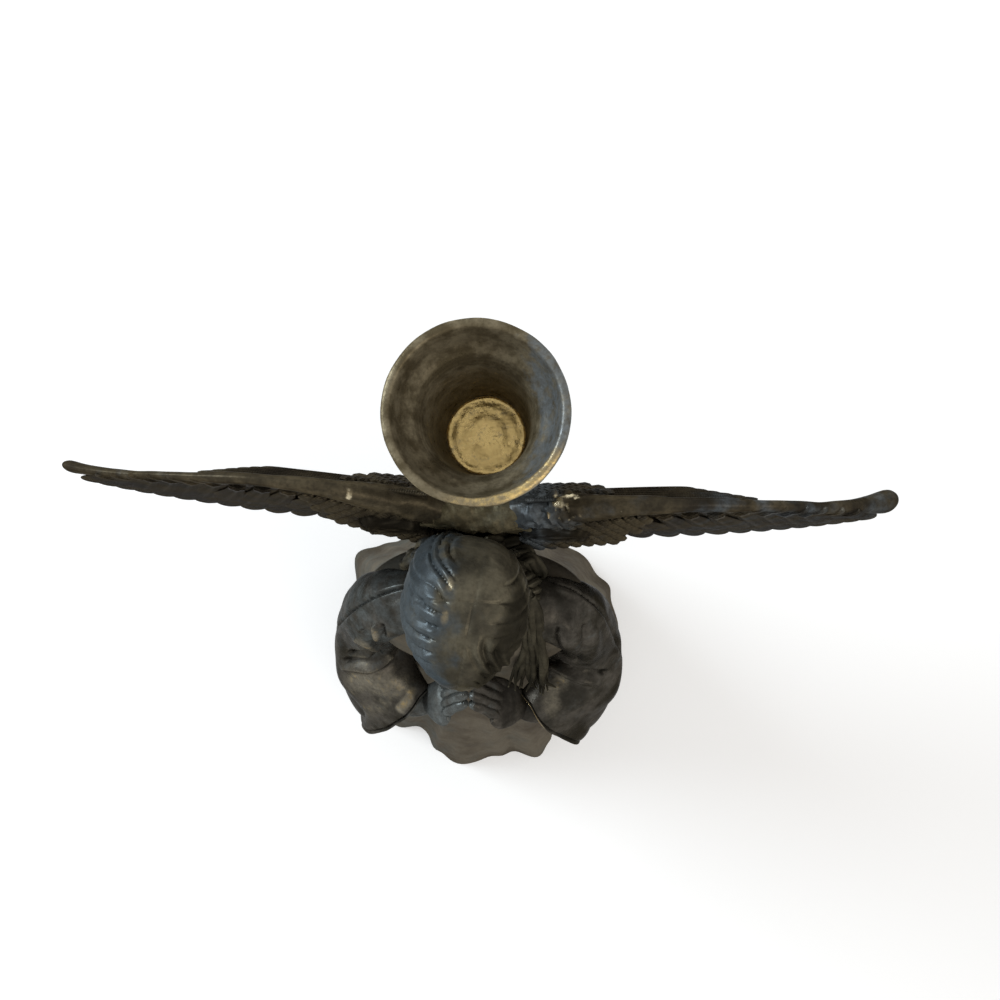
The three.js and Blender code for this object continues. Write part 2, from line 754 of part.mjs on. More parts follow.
const headColumns = 32;
const headCentre = point(0, collarBack - headForward, neckSeatLevel + neckToHead);
const bow = radians(headBow);

// The hair in the nape, from the shoulders up to the skull
const hairFall = [
	{
		level: hollowTop, middle: 5, half: napeHalfWidth - 5, front: napeFront - 2.5, back: napeBack - 4.5,
		tilt: 0,
	},
	{ level: neckSeatLevel, middle: 4, half: napeHalfWidth, front: napeFront, back: napeBack, tilt: 0 },
	{ level: collarLevel - 1, middle: 3, half: napeHalfWidth - 1, front: napeFront, back: napeBack, tilt: 0.08 },
	{
		level: collarLevel + 3, middle: 2, half: napeHalfWidth - 4, front: napeFront, back: napeBack - 2,
		tilt: 0.17,
	},
];

// Stations from chin to crown: share of the half height, then shares of the widths and depths
const headStations = [
	{ height: -1, face: 0.3, chin: 0.76, hair: 0.82, hairAhead: 0.6, hairBehind: 0.58 },
	{ height: -0.84, face: 0.58, chin: 0.96, hair: 0.86, hairAhead: 0.68, hairBehind: 0.68 },
	{ height: -0.5, face: 0.86, chin: 1, hair: 0.94, hairAhead: 0.76, hairBehind: 0.86 },
	{ height: -0.1, face: 0.98, chin: 1, hair: 1, hairAhead: 0.84, hairBehind: 0.98 },
	{ height: 0.3, face: 1, chin: 0.98, hair: 0.99, hairAhead: 0.93, hairBehind: 1 },
	{ height: 0.62, face: 0.94, chin: 0.92, hair: 0.9, hairAhead: 0.96, hairBehind: 0.93 },
	{ height: 0.85, face: 0.7, chin: 0.76, hair: 0.73, hairAhead: 0.84, hairBehind: 0.78 },
	{ height: 1, face: 0.4, chin: 0.5, hair: 0.48, hairAhead: 0.6, hairBehind: 0.54 },
	{ height: 1.07, face: 0.1, chin: 0.12, hair: 0.14, hairAhead: 0.18, hairBehind: 0.16 },
];

// How far the features of the face stand out of its plain oval, in millimetres
function features(turn, height) {
	const side = Math.abs(turn);
	const bridge = smooth(-height, -6, 4.5) * smooth(height, -7.6, -5.2);
	return noseLength * bell(turn, 8.5) * bridge
		- 1.3 * bell(side - 22, 10) * bell(height - 3.2, 2.6)
		+ 0.7 * bell(side - 22, 8) * bell(height - 2.6, 1.3)
		+ 0.8 * bell(side - 20, 16) * bell(height - 6.6, 1.9)
		+ 1.1 * bell(turn, 12) * (bell(height + 10.2, 1) + bell(height + 12.4, 1))
		+ 1 * bell(turn, 14) * bell(height + 17.5, 2.4)
		+ 0.8 * bell(side - 38, 14) * bell(height + 3, 5);
}

function headPoint(step, station) {
	const angle = step - 0.45 * Math.sin(step); // more columns at the face than at the back
	const turn = THREE.MathUtils.radToDeg(angle > Math.PI ? angle - 2 * Math.PI : angle);
	const height = station.height * headHalfHeight;
	const side = Math.sin(angle);
	const ahead = Math.cos(angle);
	const window = 52 * (1 - smooth(height, 5, 14.5)) - 8 * smooth(-height, 14, 22);
	const covered = smooth(Math.abs(turn), window - 7, window + 7);
	const face = point(
		faceHalfWidth * station.face * side,
		-ahead * faceDepth * station.chin - features(turn, height) * Math.max(0, ahead),
		0,
	);
	const parting = 0.8 * bell(turn, 7) * smooth(height, 12, 17);
	const narrower = 1 - hairNarrowing * Math.max(0, ahead) ** 1.6;
	const hair = point(
		hairHalfWidth * station.hair * side * narrower,
		-ahead * (ahead > 0 ? hairFront * station.hairAhead - parting : hairBack * station.hairBehind),
		0,
	);
	const local = face.lerp(hair, height > 13 ? 1 : covered);
	local.applyAxisAngle(point(0, 0, 1), -radians(headTurn));
	return point(
		local.x,
		headCentre.y + local.y * Math.cos(bow) - height * Math.sin(bow),
		headCentre.z + local.y * Math.sin(bow) + height * Math.cos(bow),
	);
}

// A lock of hair that falls from beside the neck over the front of a shoulder
function fallingLock(side, length) {
	const low = collarLevel + 6;
	const place = (aside, ahead, share, broad) => ({
		at: point(side * (napeHalfWidth - 5 + aside), 2 - ahead, low - length * share),
		broad,
		thin: broad * lockFlatness,
	});
	return limb([
		place(0, 0, 0, lockHalfWidth),
		place(2.8, 2.5, 0.2, lockHalfWidth),
		place(4.5, 8.5, 0.42, lockHalfWidth * 0.9),
		place(4.2, 13.7, 0.63, lockHalfWidth * 0.75),
		place(1.7, 19, 0.86, lockHalfWidth * 0.5),
		place(-0.5, 22.7, 1, lockHalfWidth * 0.2),
	], 8, 9);
}

function head() {
	const rings = hairFall.map((station) => ringOf(headColumns, (step) => {
		const angle = step - 0.45 * Math.sin(step);
		const ahead = Math.cos(angle);
		const back = -ahead * (ahead > 0 ? station.front : station.back);
		return point(station.half * Math.sin(angle), station.middle + back, station.level + station.tilt * back);
	}));
	const rows = 19;
	for (let row = 0; row <= rows; row++) {
		const station = between(headStations, row / rows);
		rings.push(ringOf(headColumns, (step) => headPoint(step, station)));
	}
	const tools = [
		gownForm(seatGap),
		bracketForm(seatGap),
		...onBothSides(rootBlock(seatGap)),
		...onBothSides(armForm(seatGap)),
	];
	const neck = rod(
		neckRadius,
		point(0, collarBack, neckSeatLevel + seatGap),
		point(0, collarBack, neckSeatLevel + neckLength),
		24,
	);
	const bore = rod(
		studRadius + boreGap,
		point(0, collarBack, neckSeatLevel - 1),
		point(0, collarBack, neckSeatLevel + neckStudReach + 0.5),
	);
	return cut(skin(rings).add(fallingLock(1, leftLockLength)), tools).add(neck).subtract(bore);
}

// Sleeve: a bell that follows the bent arm. Each station spans from the crook side to the elbow side.

const shoulder = point(shoulderHalfWidth - shoulderInset, 0, shoulderLevel);
const sleeveStations = [
	{ crook: point(-15, -5, 13), elbow: point(-15, 9, 12), half: sleeveHalf / 2 },
	{ crook: point(-5, -9, 6), elbow: point(-6, 9.5, 7), half: sleeveHalf - 3 },
	{ crook: point(1, -11.5, -7), elbow: point(1, 9, -6), half: sleeveHalf - 2 },
	{
		crook: point(2, -crookForward + 2, 9 - crookDrop), elbow: point(elbowOut - 10, 6.5, 15 - upperArm),
		half: sleeveHalf - 1.2,
	},
	{
		crook: point(0, -crookForward, -crookDrop), elbow: point(elbowOut - 4.5, 0.5, -upperArm),
		half: sleeveHalf - 0.4,
	},
	{
		crook: point(-2.5, -crookForward - 2, -crookDrop - 3), elbow: point(elbowOut, -9, -upperArm - 15),
		half: sleeveHalf,
	},
	{
		crook: point(-6, -crookForward - 5, -crookDrop - 4), elbow: point(elbowOut, -21, 9.5 - cuffDrop),
		half: sleeveHalf,
	},
	{
		crook: point(-9, 13.5 - cuffForward, -crookDrop - 5),
		elbow: point(elbowOut - 3, 7.5 - cuffForward, 2.5 - cuffDrop),
		half: sleeveHalf - 0.8,
	},
	{
		crook: point(-11, 11 - cuffForward, cuffOpening - cuffDrop), elbow: point(6, -cuffForward, -cuffDrop),
		half: sleeveHalf - 2,
	},
];

const sleeveColumns = 16;

function sleeveCurves() {
	const curve = (key) => new THREE.CatmullRomCurve3(
		sleeveStations.map((station) => station[key].clone().add(shoulder)),
	);
	return { crook: curve('crook'), elbow: curve('elbow') };
}

function sleeveRing(curves, share, wall) {
	const crook = curves.crook.getPoint(share);
	const elbow = curves.elbow.getPoint(share);
	const middle = crook.clone().add(elbow).multiplyScalar(0.5);
	const ahead = curves.crook.getTangent(share).add(curves.elbow.getTangent(share)).normalize();
	const across = elbow.clone().sub(crook).multiplyScalar(0.5);
	const reach = across.length() - wall;
	across.normalize();
	const outward = ahead.cross(across).normalize();
	const half = through(sleeveStations.map((station) => station.half), share) - wall;
	return ringOf(sleeveColumns, (angle) => {
		const ripple = wall > 0 ? 0 : 0.5 * smooth(share, 0.2, 0.7) * Math.cos(5 * angle);
		return middle.clone()
			.addScaledVector(across, Math.cos(angle) * (reach + ripple))
			.addScaledVector(outward, Math.sin(angle) * (half + ripple));
	});
}

const cuffHollowShare = 0.64; // how far back the hollow of the cuff runs

// The outer form of the arm from the neck to the cuff, grown to cut a seat into what lies against it
function armForm(grow) {
	const curves = sleeveCurves();
	const rings = [];
	const steps = 12;
	for (let step = 0; step <= steps; step++) {
		rings.push(sleeveRing(curves, step / steps, -grow));
	}
	return skin(rings);
}

// The sleeve's shell. Its hollow is drawn in by the given gap, to trim the forearm that lies in it.
function sleeveForm(gap) {
	const curves = sleeveCurves();
	const hollow = [];
	const hollowSteps = 5;
	for (let step = 0; step <= hollowSteps; step++) {
		const share = THREE.MathUtils.lerp(cuffHollowShare, 1, step / hollowSteps);
		hollow.push(sleeveRing(curves, share, cuffWall + gap));
	}
	const inward = hollow[1][0].clone().sub(hollow[0][0]).normalize().multiplyScalar(gap);
	hollow[0].forEach((corner) => corner.add(inward));
	const past = curves.elbow.getTangent(1).add(curves.crook.getTangent(1)).normalize().multiplyScalar(2);
	hollow.push(hollow[hollowSteps].map((corner) => corner.clone().add(past)));
	return armForm(0).subtract(skin(hollow));
}

function leftSleeve() {
	const tools = [
		...onBothSides(gownForm(seatGap)),
		rod(screwRadius + boreGap, point(10, 0, armScrewLevel), point(shoulder.x + 7, 0, armScrewLevel)),
	];
	return cut(sleeveForm(0), tools);
}

// Hand: a forearm from the hollow of the cuff, a palm, four fingers and a thumb

function forearmPlace(share) {
	const curves = sleeveCurves();
	const crook = curves.crook.getPoint(share);
	return crook.clone().add(curves.elbow.getPoint(share).sub(crook).setLength(forearmInset));
}

const cuffPlace = forearmPlace(1);
const wrist = cuffPlace.clone().add(point(-wristReach, 1, 1));
const knuckles = point(knuckleAside, wrist.y, wrist.z + handLength * 0.37);

function limb(stations, sides, steps) {
	const path = new THREE.CatmullRomCurve3(stations.map((station) => station.at));
	const rings = [];
	for (let step = 0; step <= steps; step++) {
		const share = step / steps;
		const at = path.getPoint(share);
		const ahead = path.getTangent(share);
		const broad = point(0, 1, 0).addScaledVector(ahead, -ahead.y).normalize();
		const thin = ahead.clone().cross(broad);
		const halfBroad = through(stations.map((station) => station.broad), share);
		const halfThin = through(stations.map((station) => station.thin), share);
		rings.push(ringOf(sides, (angle) => at.clone()
			.addScaledVector(broad, Math.cos(angle) * halfBroad)
			.addScaledVector(thin, Math.sin(angle) * halfThin)));
	}
	return skin(rings);
}

function finger(from, to, radius) {
	const bend = from.clone().lerp(to, 0.5).add(point(0.9, 0, 0.5));
	return limb([
		{ at: from, broad: radius, thin: radius },
		{ at: bend, broad: radius, thin: radius },
		{ at: from.clone().lerp(to, 0.93), broad: radius * 0.85, thin: radius * 0.85 },
		{ at: to, broad: radius * 0.3, thin: radius * 0.3 },
	], 6, 4);
}

function leftHand() {
	const palmBroad = 2 * fingerPitch + 0.5;
	const palm = limb([
		{ at: forearmPlace(cuffHollowShare - 0.05), broad: forearmRadius, thin: forearmRadius },
		{ at: forearmPlace(0.82), broad: forearmRadius, thin: forearmRadius * 0.96 },
		{ at: cuffPlace, broad: forearmRadius * 0.92, thin: forearmRadius * 0.84 },
		{ at: wrist, broad: forearmRadius * 0.88, thin: forearmRadius * 0.72 },
		{ at: wrist.clone().lerp(knuckles, 0.6), broad: palmBroad, thin: forearmRadius * 0.62 },
		{ at: knuckles, broad: palmBroad, thin: forearmRadius * 0.44 },
	], 8, 8);
	const pieces = [palm];
	const tipLevel = wrist.z + handLength;
	for (let number = 0; number < 4; number++) {
		const back = (1.5 - number) * fingerPitch;
		const shorter = [0.06, 0, 0.04, 0.15][number] * handLength;
		pieces.push(finger(
			point(knuckles.x, knuckles.y + back, knuckles.z),
			point(palmGap / 2 + fingerRadius * 0.7, knuckles.y + back * 0.94 + fingersBack, tipLevel - shorter),
			fingerRadius,
		));
	}
	const thumbRoot = point(
		knuckles.x + fingerRadius,
		knuckles.y + 2 * fingerPitch - 1,
		wrist.z + handLength * 0.18,
	);
	pieces.push(finger(
		thumbRoot,
		point(palmGap / 2 + fingerRadius * 1.4, thumbRoot.y + fingersBack * 0.6, thumbRoot.z + thumbLength),
		fingerRadius * 1.15,
	));
	const farSide = block(
		point(-knuckleAside * 2, -hemFront * 2, 0),
		point(palmGap / 2, hemBack, collarLevel),
	);
	return cut(join(pieces), [farSide, ...onBothSides(gownForm(seatGap)), sleeveForm(seatGap)]);
}

// Fasteners

function screw(headPlace, direction, length) {
	const ahead = direction.clone().normalize();
	const headEnd = headPlace.clone().addScaledVector(ahead, -screwHeadHeight);
	const tip = headPlace.clone().addScaledVector(ahead, length);
	return rod(screwHeadRadius, headEnd, headPlace)
		.add(rod(screwRadius, headPlace.clone().addScaledVector(ahead, -0.5), tip, 8));
}

function ringPlate(corners, radius, hole, from, direction, thick) {
	const outline = new THREE.Shape(Array.from({ length: corners }, (_, i) => {
		const angle = (2 * Math.PI * i) / corners;
		return new THREE.Vector2(radius * Math.cos(angle), radius * Math.sin(angle));
	}));
	outline.holes.push(new THREE.Path().absarc(0, 0, hole, 0, 2 * Math.PI, true));
	const geometry = new THREE.ExtrudeGeometry(outline, { depth: thick, bevelEnabled: false, curveSegments: 5 });
	const turn = new THREE.Quaternion().setFromUnitVectors(point(0, 0, 1), direction.clone().normalize());
	geometry.applyQuaternion(turn).translate(from.x, from.y, from.z);
	return toSolid(geometry);
}

const down = point(0, 0, -1);
const toFront = point(0, -1, 0);
const stackGap = 0.3; // between a washer, its nut and what they press on

// A stud that stands up into a casting, with the washer and nut that pull on it from below
function studSet(axis, top, seat) {
	const washerTop = seat - stackGap;
	const nutTop = washerTop - washerThick - stackGap;
	const end = nutTop - nutHeight - 1.2;
	const hole = studRadius + boreGap;
	return {
		stud: rod(studRadius, point(0, axis, end), point(0, axis, top)),
		washer: ringPlate(12, washerRadius, hole, point(0, axis, washerTop), down, washerThick),
		nut: ringPlate(6, nutRadius, hole, point(0, axis, nutTop), down, nutHeight),
	};
}

// The model

const patina = { dark: 0x3b352c, brown: 0x4a3d2c, grey: 0x585044, brass: 0x8f6c2c, steel: 0x55524c };
const angel = new THREE.Group();

function addPiece(name, shape, color, roughness, metalness = 0.9) {
	const geometry = shape.isBufferGeometry ? shape : toGeometry(shape);
	const mesh = new THREE.Mesh(geometry, new THREE.MeshStandardMaterial({ color, roughness, metalness }));
	mesh.name = name;
	angel.add(mesh);
}

function addPair(name, shape, color, roughness) {
	const geometry = toGeometry(shape);
	addPiece(`left_${name}`, geometry, color, roughness);
	addPiece(`right_${name}`, mirrored(geometry), color, roughness);
}

addPiece('gown_body', gownBody(), patina.grey, 0.55);
addPiece('head', head(), patina.dark, 0.42);
addPair('sleeve', leftSleeve(), patina.brown, 0.5);
addPair('hand', leftHand(), patina.dark, 0.42);
addPair('wing', leftWing(), patina.dark, 0.45);
addPiece('wing_bracket', wingBracket(), patina.brown, 0.6);
addPiece('candle_cup', candleCup(), patina.brass, 0.38);

const neckSet = studSet(collarBack, neckSeatLevel + neckStudReach, hollowTop);
addPiece('neck_stud', neckSet.stud, patina.steel, 0.5);
addPiece('neck_washer', neckSet.washer, patina.brass, 0.5);
addPiece('neck_nut', neckSet.nut, patina.brass, 0.5);

const cupSet = studSet(cupAxis, padTop + seatGap + cupBottom - 0.3, padBottom);
addPiece('cup_stud', cupSet.stud, patina.brass, 0.4);
addPiece('cup_washer', cupSet.washer, patina.brass, 0.5);
addPiece('cup_nut', cupSet.nut, patina.brass, 0.5);

['upper', 'lower'].forEach((place, number) => {
	const level = bracketScrewLevels[number];
	const length = bracketBack + stackGap - nutSeat + nutHeight + 1.5;
	addPiece(
		`bracket_screw_${place}`,
		screw(point(0, bracketBack + stackGap, level), toFront, length),
		patina.steel,
		0.5,
	);
	addPiece(
		`bracket_nut_${place}`,
		ringPlate(6, nutRadius, screwRadius + boreGap, point(0, nutSeat - stackGap, level), toFront, nutHeight),
		patina.brass,
		0.5,
	);
	const seat = wingScrewSeat + stackGap;
	const wingPlace = wingScrewPlaces[number];
	addPair(
		`wing_screw_${place}`,
		screw(point(wingPlace.x, seat, wingPlace.z), toFront, seat - backSeat - 0.4),
		patina.steel,
		0.5,
	);
});

addPair(
	'arm_screw',
	screw(
		point(armScrewSeat - stackGap, 0, armScrewLevel),
		point(1, 0, 0),
		shoulder.x + 6.5 - armScrewSeat,
	),
	patina.steel,
	0.5,
);

// The origin lies under the middle of the whole outline
const outline = new THREE.Box3().setFromObject(angel);
angel.position.y = -(outline.min.y + outline.max.y) / 2;
angel.updateMatrixWorld(true);

export default angel;
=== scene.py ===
import bpy
import numpy as np
from mathutils import Matrix, Vector


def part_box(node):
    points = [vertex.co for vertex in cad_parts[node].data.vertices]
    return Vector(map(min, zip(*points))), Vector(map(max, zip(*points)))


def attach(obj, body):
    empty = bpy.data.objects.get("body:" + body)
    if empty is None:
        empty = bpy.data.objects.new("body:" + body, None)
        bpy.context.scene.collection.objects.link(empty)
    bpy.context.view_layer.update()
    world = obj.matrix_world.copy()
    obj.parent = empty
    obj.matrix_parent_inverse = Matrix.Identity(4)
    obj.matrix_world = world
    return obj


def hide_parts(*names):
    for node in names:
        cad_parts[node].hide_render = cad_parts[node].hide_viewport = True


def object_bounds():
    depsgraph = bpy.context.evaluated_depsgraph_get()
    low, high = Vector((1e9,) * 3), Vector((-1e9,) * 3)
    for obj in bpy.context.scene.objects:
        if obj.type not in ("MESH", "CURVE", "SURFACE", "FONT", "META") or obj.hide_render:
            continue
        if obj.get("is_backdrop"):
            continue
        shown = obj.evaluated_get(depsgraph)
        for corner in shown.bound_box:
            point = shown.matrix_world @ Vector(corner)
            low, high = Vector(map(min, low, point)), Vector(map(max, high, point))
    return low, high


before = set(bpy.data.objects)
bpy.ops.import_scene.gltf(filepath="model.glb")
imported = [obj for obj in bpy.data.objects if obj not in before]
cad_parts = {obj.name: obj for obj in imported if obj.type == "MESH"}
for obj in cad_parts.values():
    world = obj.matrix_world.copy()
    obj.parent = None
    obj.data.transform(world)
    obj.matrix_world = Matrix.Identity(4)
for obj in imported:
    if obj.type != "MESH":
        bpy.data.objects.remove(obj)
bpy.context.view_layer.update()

# Gown.
# One thin hollow brass casting, open underneath, that stands on its flat hem and carries everything else. It
# was poured in one with the shoulders and the collar, then given a grey-brown patina that has worn off its
# folds.

mm = 0.001
tau = 2 * np.pi
detail = 1.0
collar_back = 2.0
neck_low, neck_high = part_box("neck_stud")
set_back = (neck_low.y + neck_high.y) / 2 / mm - collar_back

hem_level, thigh_level, hip_level, waist_level = 0.0, 58.0, 114.0, 146.0
chest_level, shoulder_level, collar_level = 170.0, 190.0, 207.0
cast_wall, hem_thicker = 3.0, 4.0
pad_half_width, pad_level, pad_half_height, pad_back = 10.5, 174, 12, 18.9
neck_bore, neck_recess = 2.5, 8.8
hollow_share, hollow_rows, hollow_top = 0.72, 90, 193
gown_levels = [hem_level, 12, thigh_level, hip_level, waist_level, chest_level, shoulder_level, 197, 202,
               collar_level]
gown_half_width = [57, 54, 45, 36, 28, 28, 31, 23, 14.8, 10.8]
gown_front = [47, 44, 37, 28, 18.5, 18, 15, 12, 10.5, 10.8]
gown_back = [46, 43, 33, 25, 19, 17.5, 16, 12.5, 11, 10.8]
gown_middle = [-12, -12, -8, -4, -1, 0.5, 1, 1.5, 2, 2]
gown_aside = 2.6
gown_folds = [(-4, 6.5, 9), (22, 6, 6.5), (-27, -4.5, 10), (40, -4, 10), (-48, 3.5, 10), (62, 2.5, 12),
              (-89, 1.8, 9), (-126, 8.5, 10), (98, 1.0, 14), (-152, 3, 10), (138, 2.2, 12), (180, 3.2, 13)]
gown_pleats = [(-32, 2.6, 4.5, 150, 5), (9, 2.4, 4, 150, -4), (43, 2.6, 5, 150, 6), (-70, 2.8, 6, 145, -5),
               (78, 2.6, 6, 150, 5), (-106, 2.2, 5, 140, 6), (118, 2.6, 6, 145, -6), (-167, 2.6, 6, 150, 5),
               (160, 2.6, 6, 150, -5), (-15, 1.8, 3, 120, 3), (31, 1.6, 3, 105, -3), (-138, 1.8, 4, 120, -4),
               (-55, 1.6, 3.5, 110, 4), (60, 1.5, 3.5, 120, -4)]


def bell(offset, width):
    """1 at offset 0, falling off as exp(-(offset / width) squared)."""
    return np.exp(-(offset / width) ** 2)


def smooth(value, low, high):
    """0 below low, 1 above high, and 3t^2 - 2t^3 between them."""
    share = np.clip((value - low) / (high - low), 0, 1)
    return share * share * (3 - 2 * share)


def powered(value, exponent):
    """value to a power, with its sign kept: sign(value) |value|^exponent."""
    return np.sign(value) * np.abs(value) ** exponent


def unit_length(vectors):
    """Vectors along the last axis over their lengths."""
    return vectors / (np.linalg.norm(vectors, axis=-1, keepdims=True) + 1e-9)


def circle(columns):
    """A row of even angles once round."""
    return np.linspace(0, tau, columns, endpoint=False)[None, :]


def through(values, share):
    """Catmull-Rom curve through evenly spaced values, read at shares 0 to 1 of the way along them."""
    values = np.asarray(values, float)
    place = np.clip(share, 0, 1) * (len(values) - 1)
    index = np.minimum(place.astype(int), len(values) - 2)
    t = place - index
    a, b = values[np.maximum(index - 1, 0)], values[index]
    c, d = values[index + 1], values[np.minimum(index + 2, len(values) - 1)]
    if values.ndim == 2:
        t = t[..., None]
    return b + 0.5 * t * ((c - a) + t * ((2 * a - 5 * b + 4 * c - d) + t * (3 * (b - c) + d - a)))


def unevenness(points, size, seed):
    """A smooth random height between about -1 and 1: the mean of 14 sine waves of the place, each about size
    long."""
    random = np.random.default_rng(seed)
    waves = random.normal(size=(3, 14)) * 2.4 / size
    return np.sin(points @ waves + random.uniform(0, tau, 14)).sum(-1) / 3.2


def outward(grid):
    """The outward normals of a grid: the cross product of its two directions, turned away from the middle of
    its rows."""
    along = np.gradient(grid, axis=0)
    around = np.roll(grid, -1, 1) - np.roll(grid, 1, 1)
    normal = unit_length(np.cross(around, along))
    return normal * np.sign(np.sum(normal * (grid - grid.mean(axis=1, keepdims=True))))


def swell(grid, height):
    """Moves each point of a grid outward along its normal by height."""
    return grid + outward(grid) * np.asarray(height)[..., None]


def add_object(name, data):
    """A new object in the scene that shows data."""
    thing = bpy.data.objects.new(name, data)
    bpy.context.scene.collection.objects.link(thing)
    return thing


def new_material(name):
    """A new material, its node tree and its shader."""
    material = bpy.data.materials.new(name)
    material.use_nodes = True
    return material, material.node_tree, material.node_tree.nodes["Principled BSDF"]


def fill(tree, node, values):
    """Links inputs of a node to sockets, or sets them to numbers or colours."""
    for key, value in values.items():
        if isinstance(value, bpy.types.NodeSocket):
            tree.links.new(value, node.inputs[key])
        else:
            node.inputs[key].default_value = (*value, 1) if isinstance(value, tuple) else value


def arithmetic(tree, kind, *terms):
    """One arithmetic step on sockets or numbers."""
    node = tree.nodes.new("ShaderNodeMath")
    node.operation = kind
    fill(tree, node, dict(enumerate(terms)))
    return node.outputs[0]


def casting(name, sheets, metal, nodes, passes=2, unit=0.3, tarnish_and_sheen=None):
    """One object from closed sheets, each a grid, its line numbers and a brightness value, in mm. A grid runs
    round in its columns and ends in a pole, the mean of its end row, at both ends. The line numbers count the
    fine engraved lines. The brightness value above 0 is how far the metal is worn bright, in places a painted
    highlight, and below 0 it is painted shade. relief is how far a point stands out of its smoothed
    surroundings, over unit mm, and the last argument gives the share of blue-grey at a place, a patina and a
    painted reflection of the bluish window light."""
    points, quads, tris, lines, wear_and_painted_light, count = [], [], [], [], [], 0
    for grid, line, shine in sheets:
        rows, columns = grid.shape[:2]
        place = np.arange(rows * columns).reshape(rows, columns)
        here, there = place[:-1], place[1:]
        faces = np.stack([here, np.roll(here, -1, 1), np.roll(there, -1, 1), there], -1).reshape(-1, 4)
        pole = 0 * place[0] + rows * columns
        ends = np.concatenate([np.stack([np.roll(place[0], -1), place[0], pole], -1),
                               np.stack([place[-1], np.roll(place[-1], -1), pole + 1], -1)])
        cloud = np.concatenate([grid.reshape(-1, 3), grid[:1].mean(1), grid[-1:].mean(1)])
        volume = 0
        for three in (faces[:, :3], faces[:, [0, 2, 3]], ends):
            a, b, c = np.moveaxis(cloud[three], 1, 0)
            volume += np.sum(a * np.cross(b, c))
        if volume < 0:
            faces, ends = faces[:, ::-1], ends[:, ::-1]
        points.append(cloud)
        quads.append(faces + count)
        tris.append(ends + count)
        for held, value in ((lines, line), (wear_and_painted_light, shine)):
            value = np.broadcast_to(value, (rows, columns))
            held.append(np.concatenate([value.ravel(), value[:1].mean(1), value[-1:].mean(1)]))
        count += len(cloud)
    points, quads, tris = np.concatenate(points), np.concatenate(quads), np.concatenate(tris)
    points[:, 1] += set_back
    mesh = bpy.data.meshes.new(name)
    mesh.from_pydata(points * mm, [], quads.tolist() + tris.tolist(), shade_flat=False)
    mesh.update(calc_edges=True)
    mesh.set_sharp_from_angle(angle=np.radians(55))
    edges = np.empty(len(mesh.edges) * 2, np.int32)
    mesh.edges.foreach_get("vertices", edges)
    near, far = edges.reshape(-1, 2).T
    near, far = np.concatenate([near, far]), np.concatenate([far, near])
    links = np.maximum(np.bincount(near, minlength=count), 1)
    mean = points.copy()
    for _ in range(max(1, int(passes * detail * detail))):
        pulled = np.stack([np.bincount(near, mean[far, axis], count) for axis in range(3)], 1)
        mean = 0.4 * mean + 0.6 * pulled / links[:, None]
    normals = np.empty(count * 3, np.float32)
    mesh.vertex_normals.foreach_get("vector", normals)
    relief = ((points - mean) * normals.reshape(-1, 3)).sum(1) / unit
    # Share of blue-grey: tarnish, and painted reflection of the bluish window light.
    tarnish_and_sheen_share = tarnish_and_sheen(points) if tarnish_and_sheen else np.full(count, 0.35)
    kept = {"relief": relief, "lines": np.concatenate(lines), "wear_and_painted_light": np.concatenate(wear_and_painted_light), "tarnish_and_sheen": tarnish_and_sheen_share}
    for key, value in kept.items():
        mesh.attributes.new(key, "FLOAT", "POINT").data.foreach_set("value", value.astype(np.float32))
    mesh.materials.append(metal)
    piece = add_object(name, mesh)
    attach(piece, "root")
    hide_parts(*nodes)
    return piece


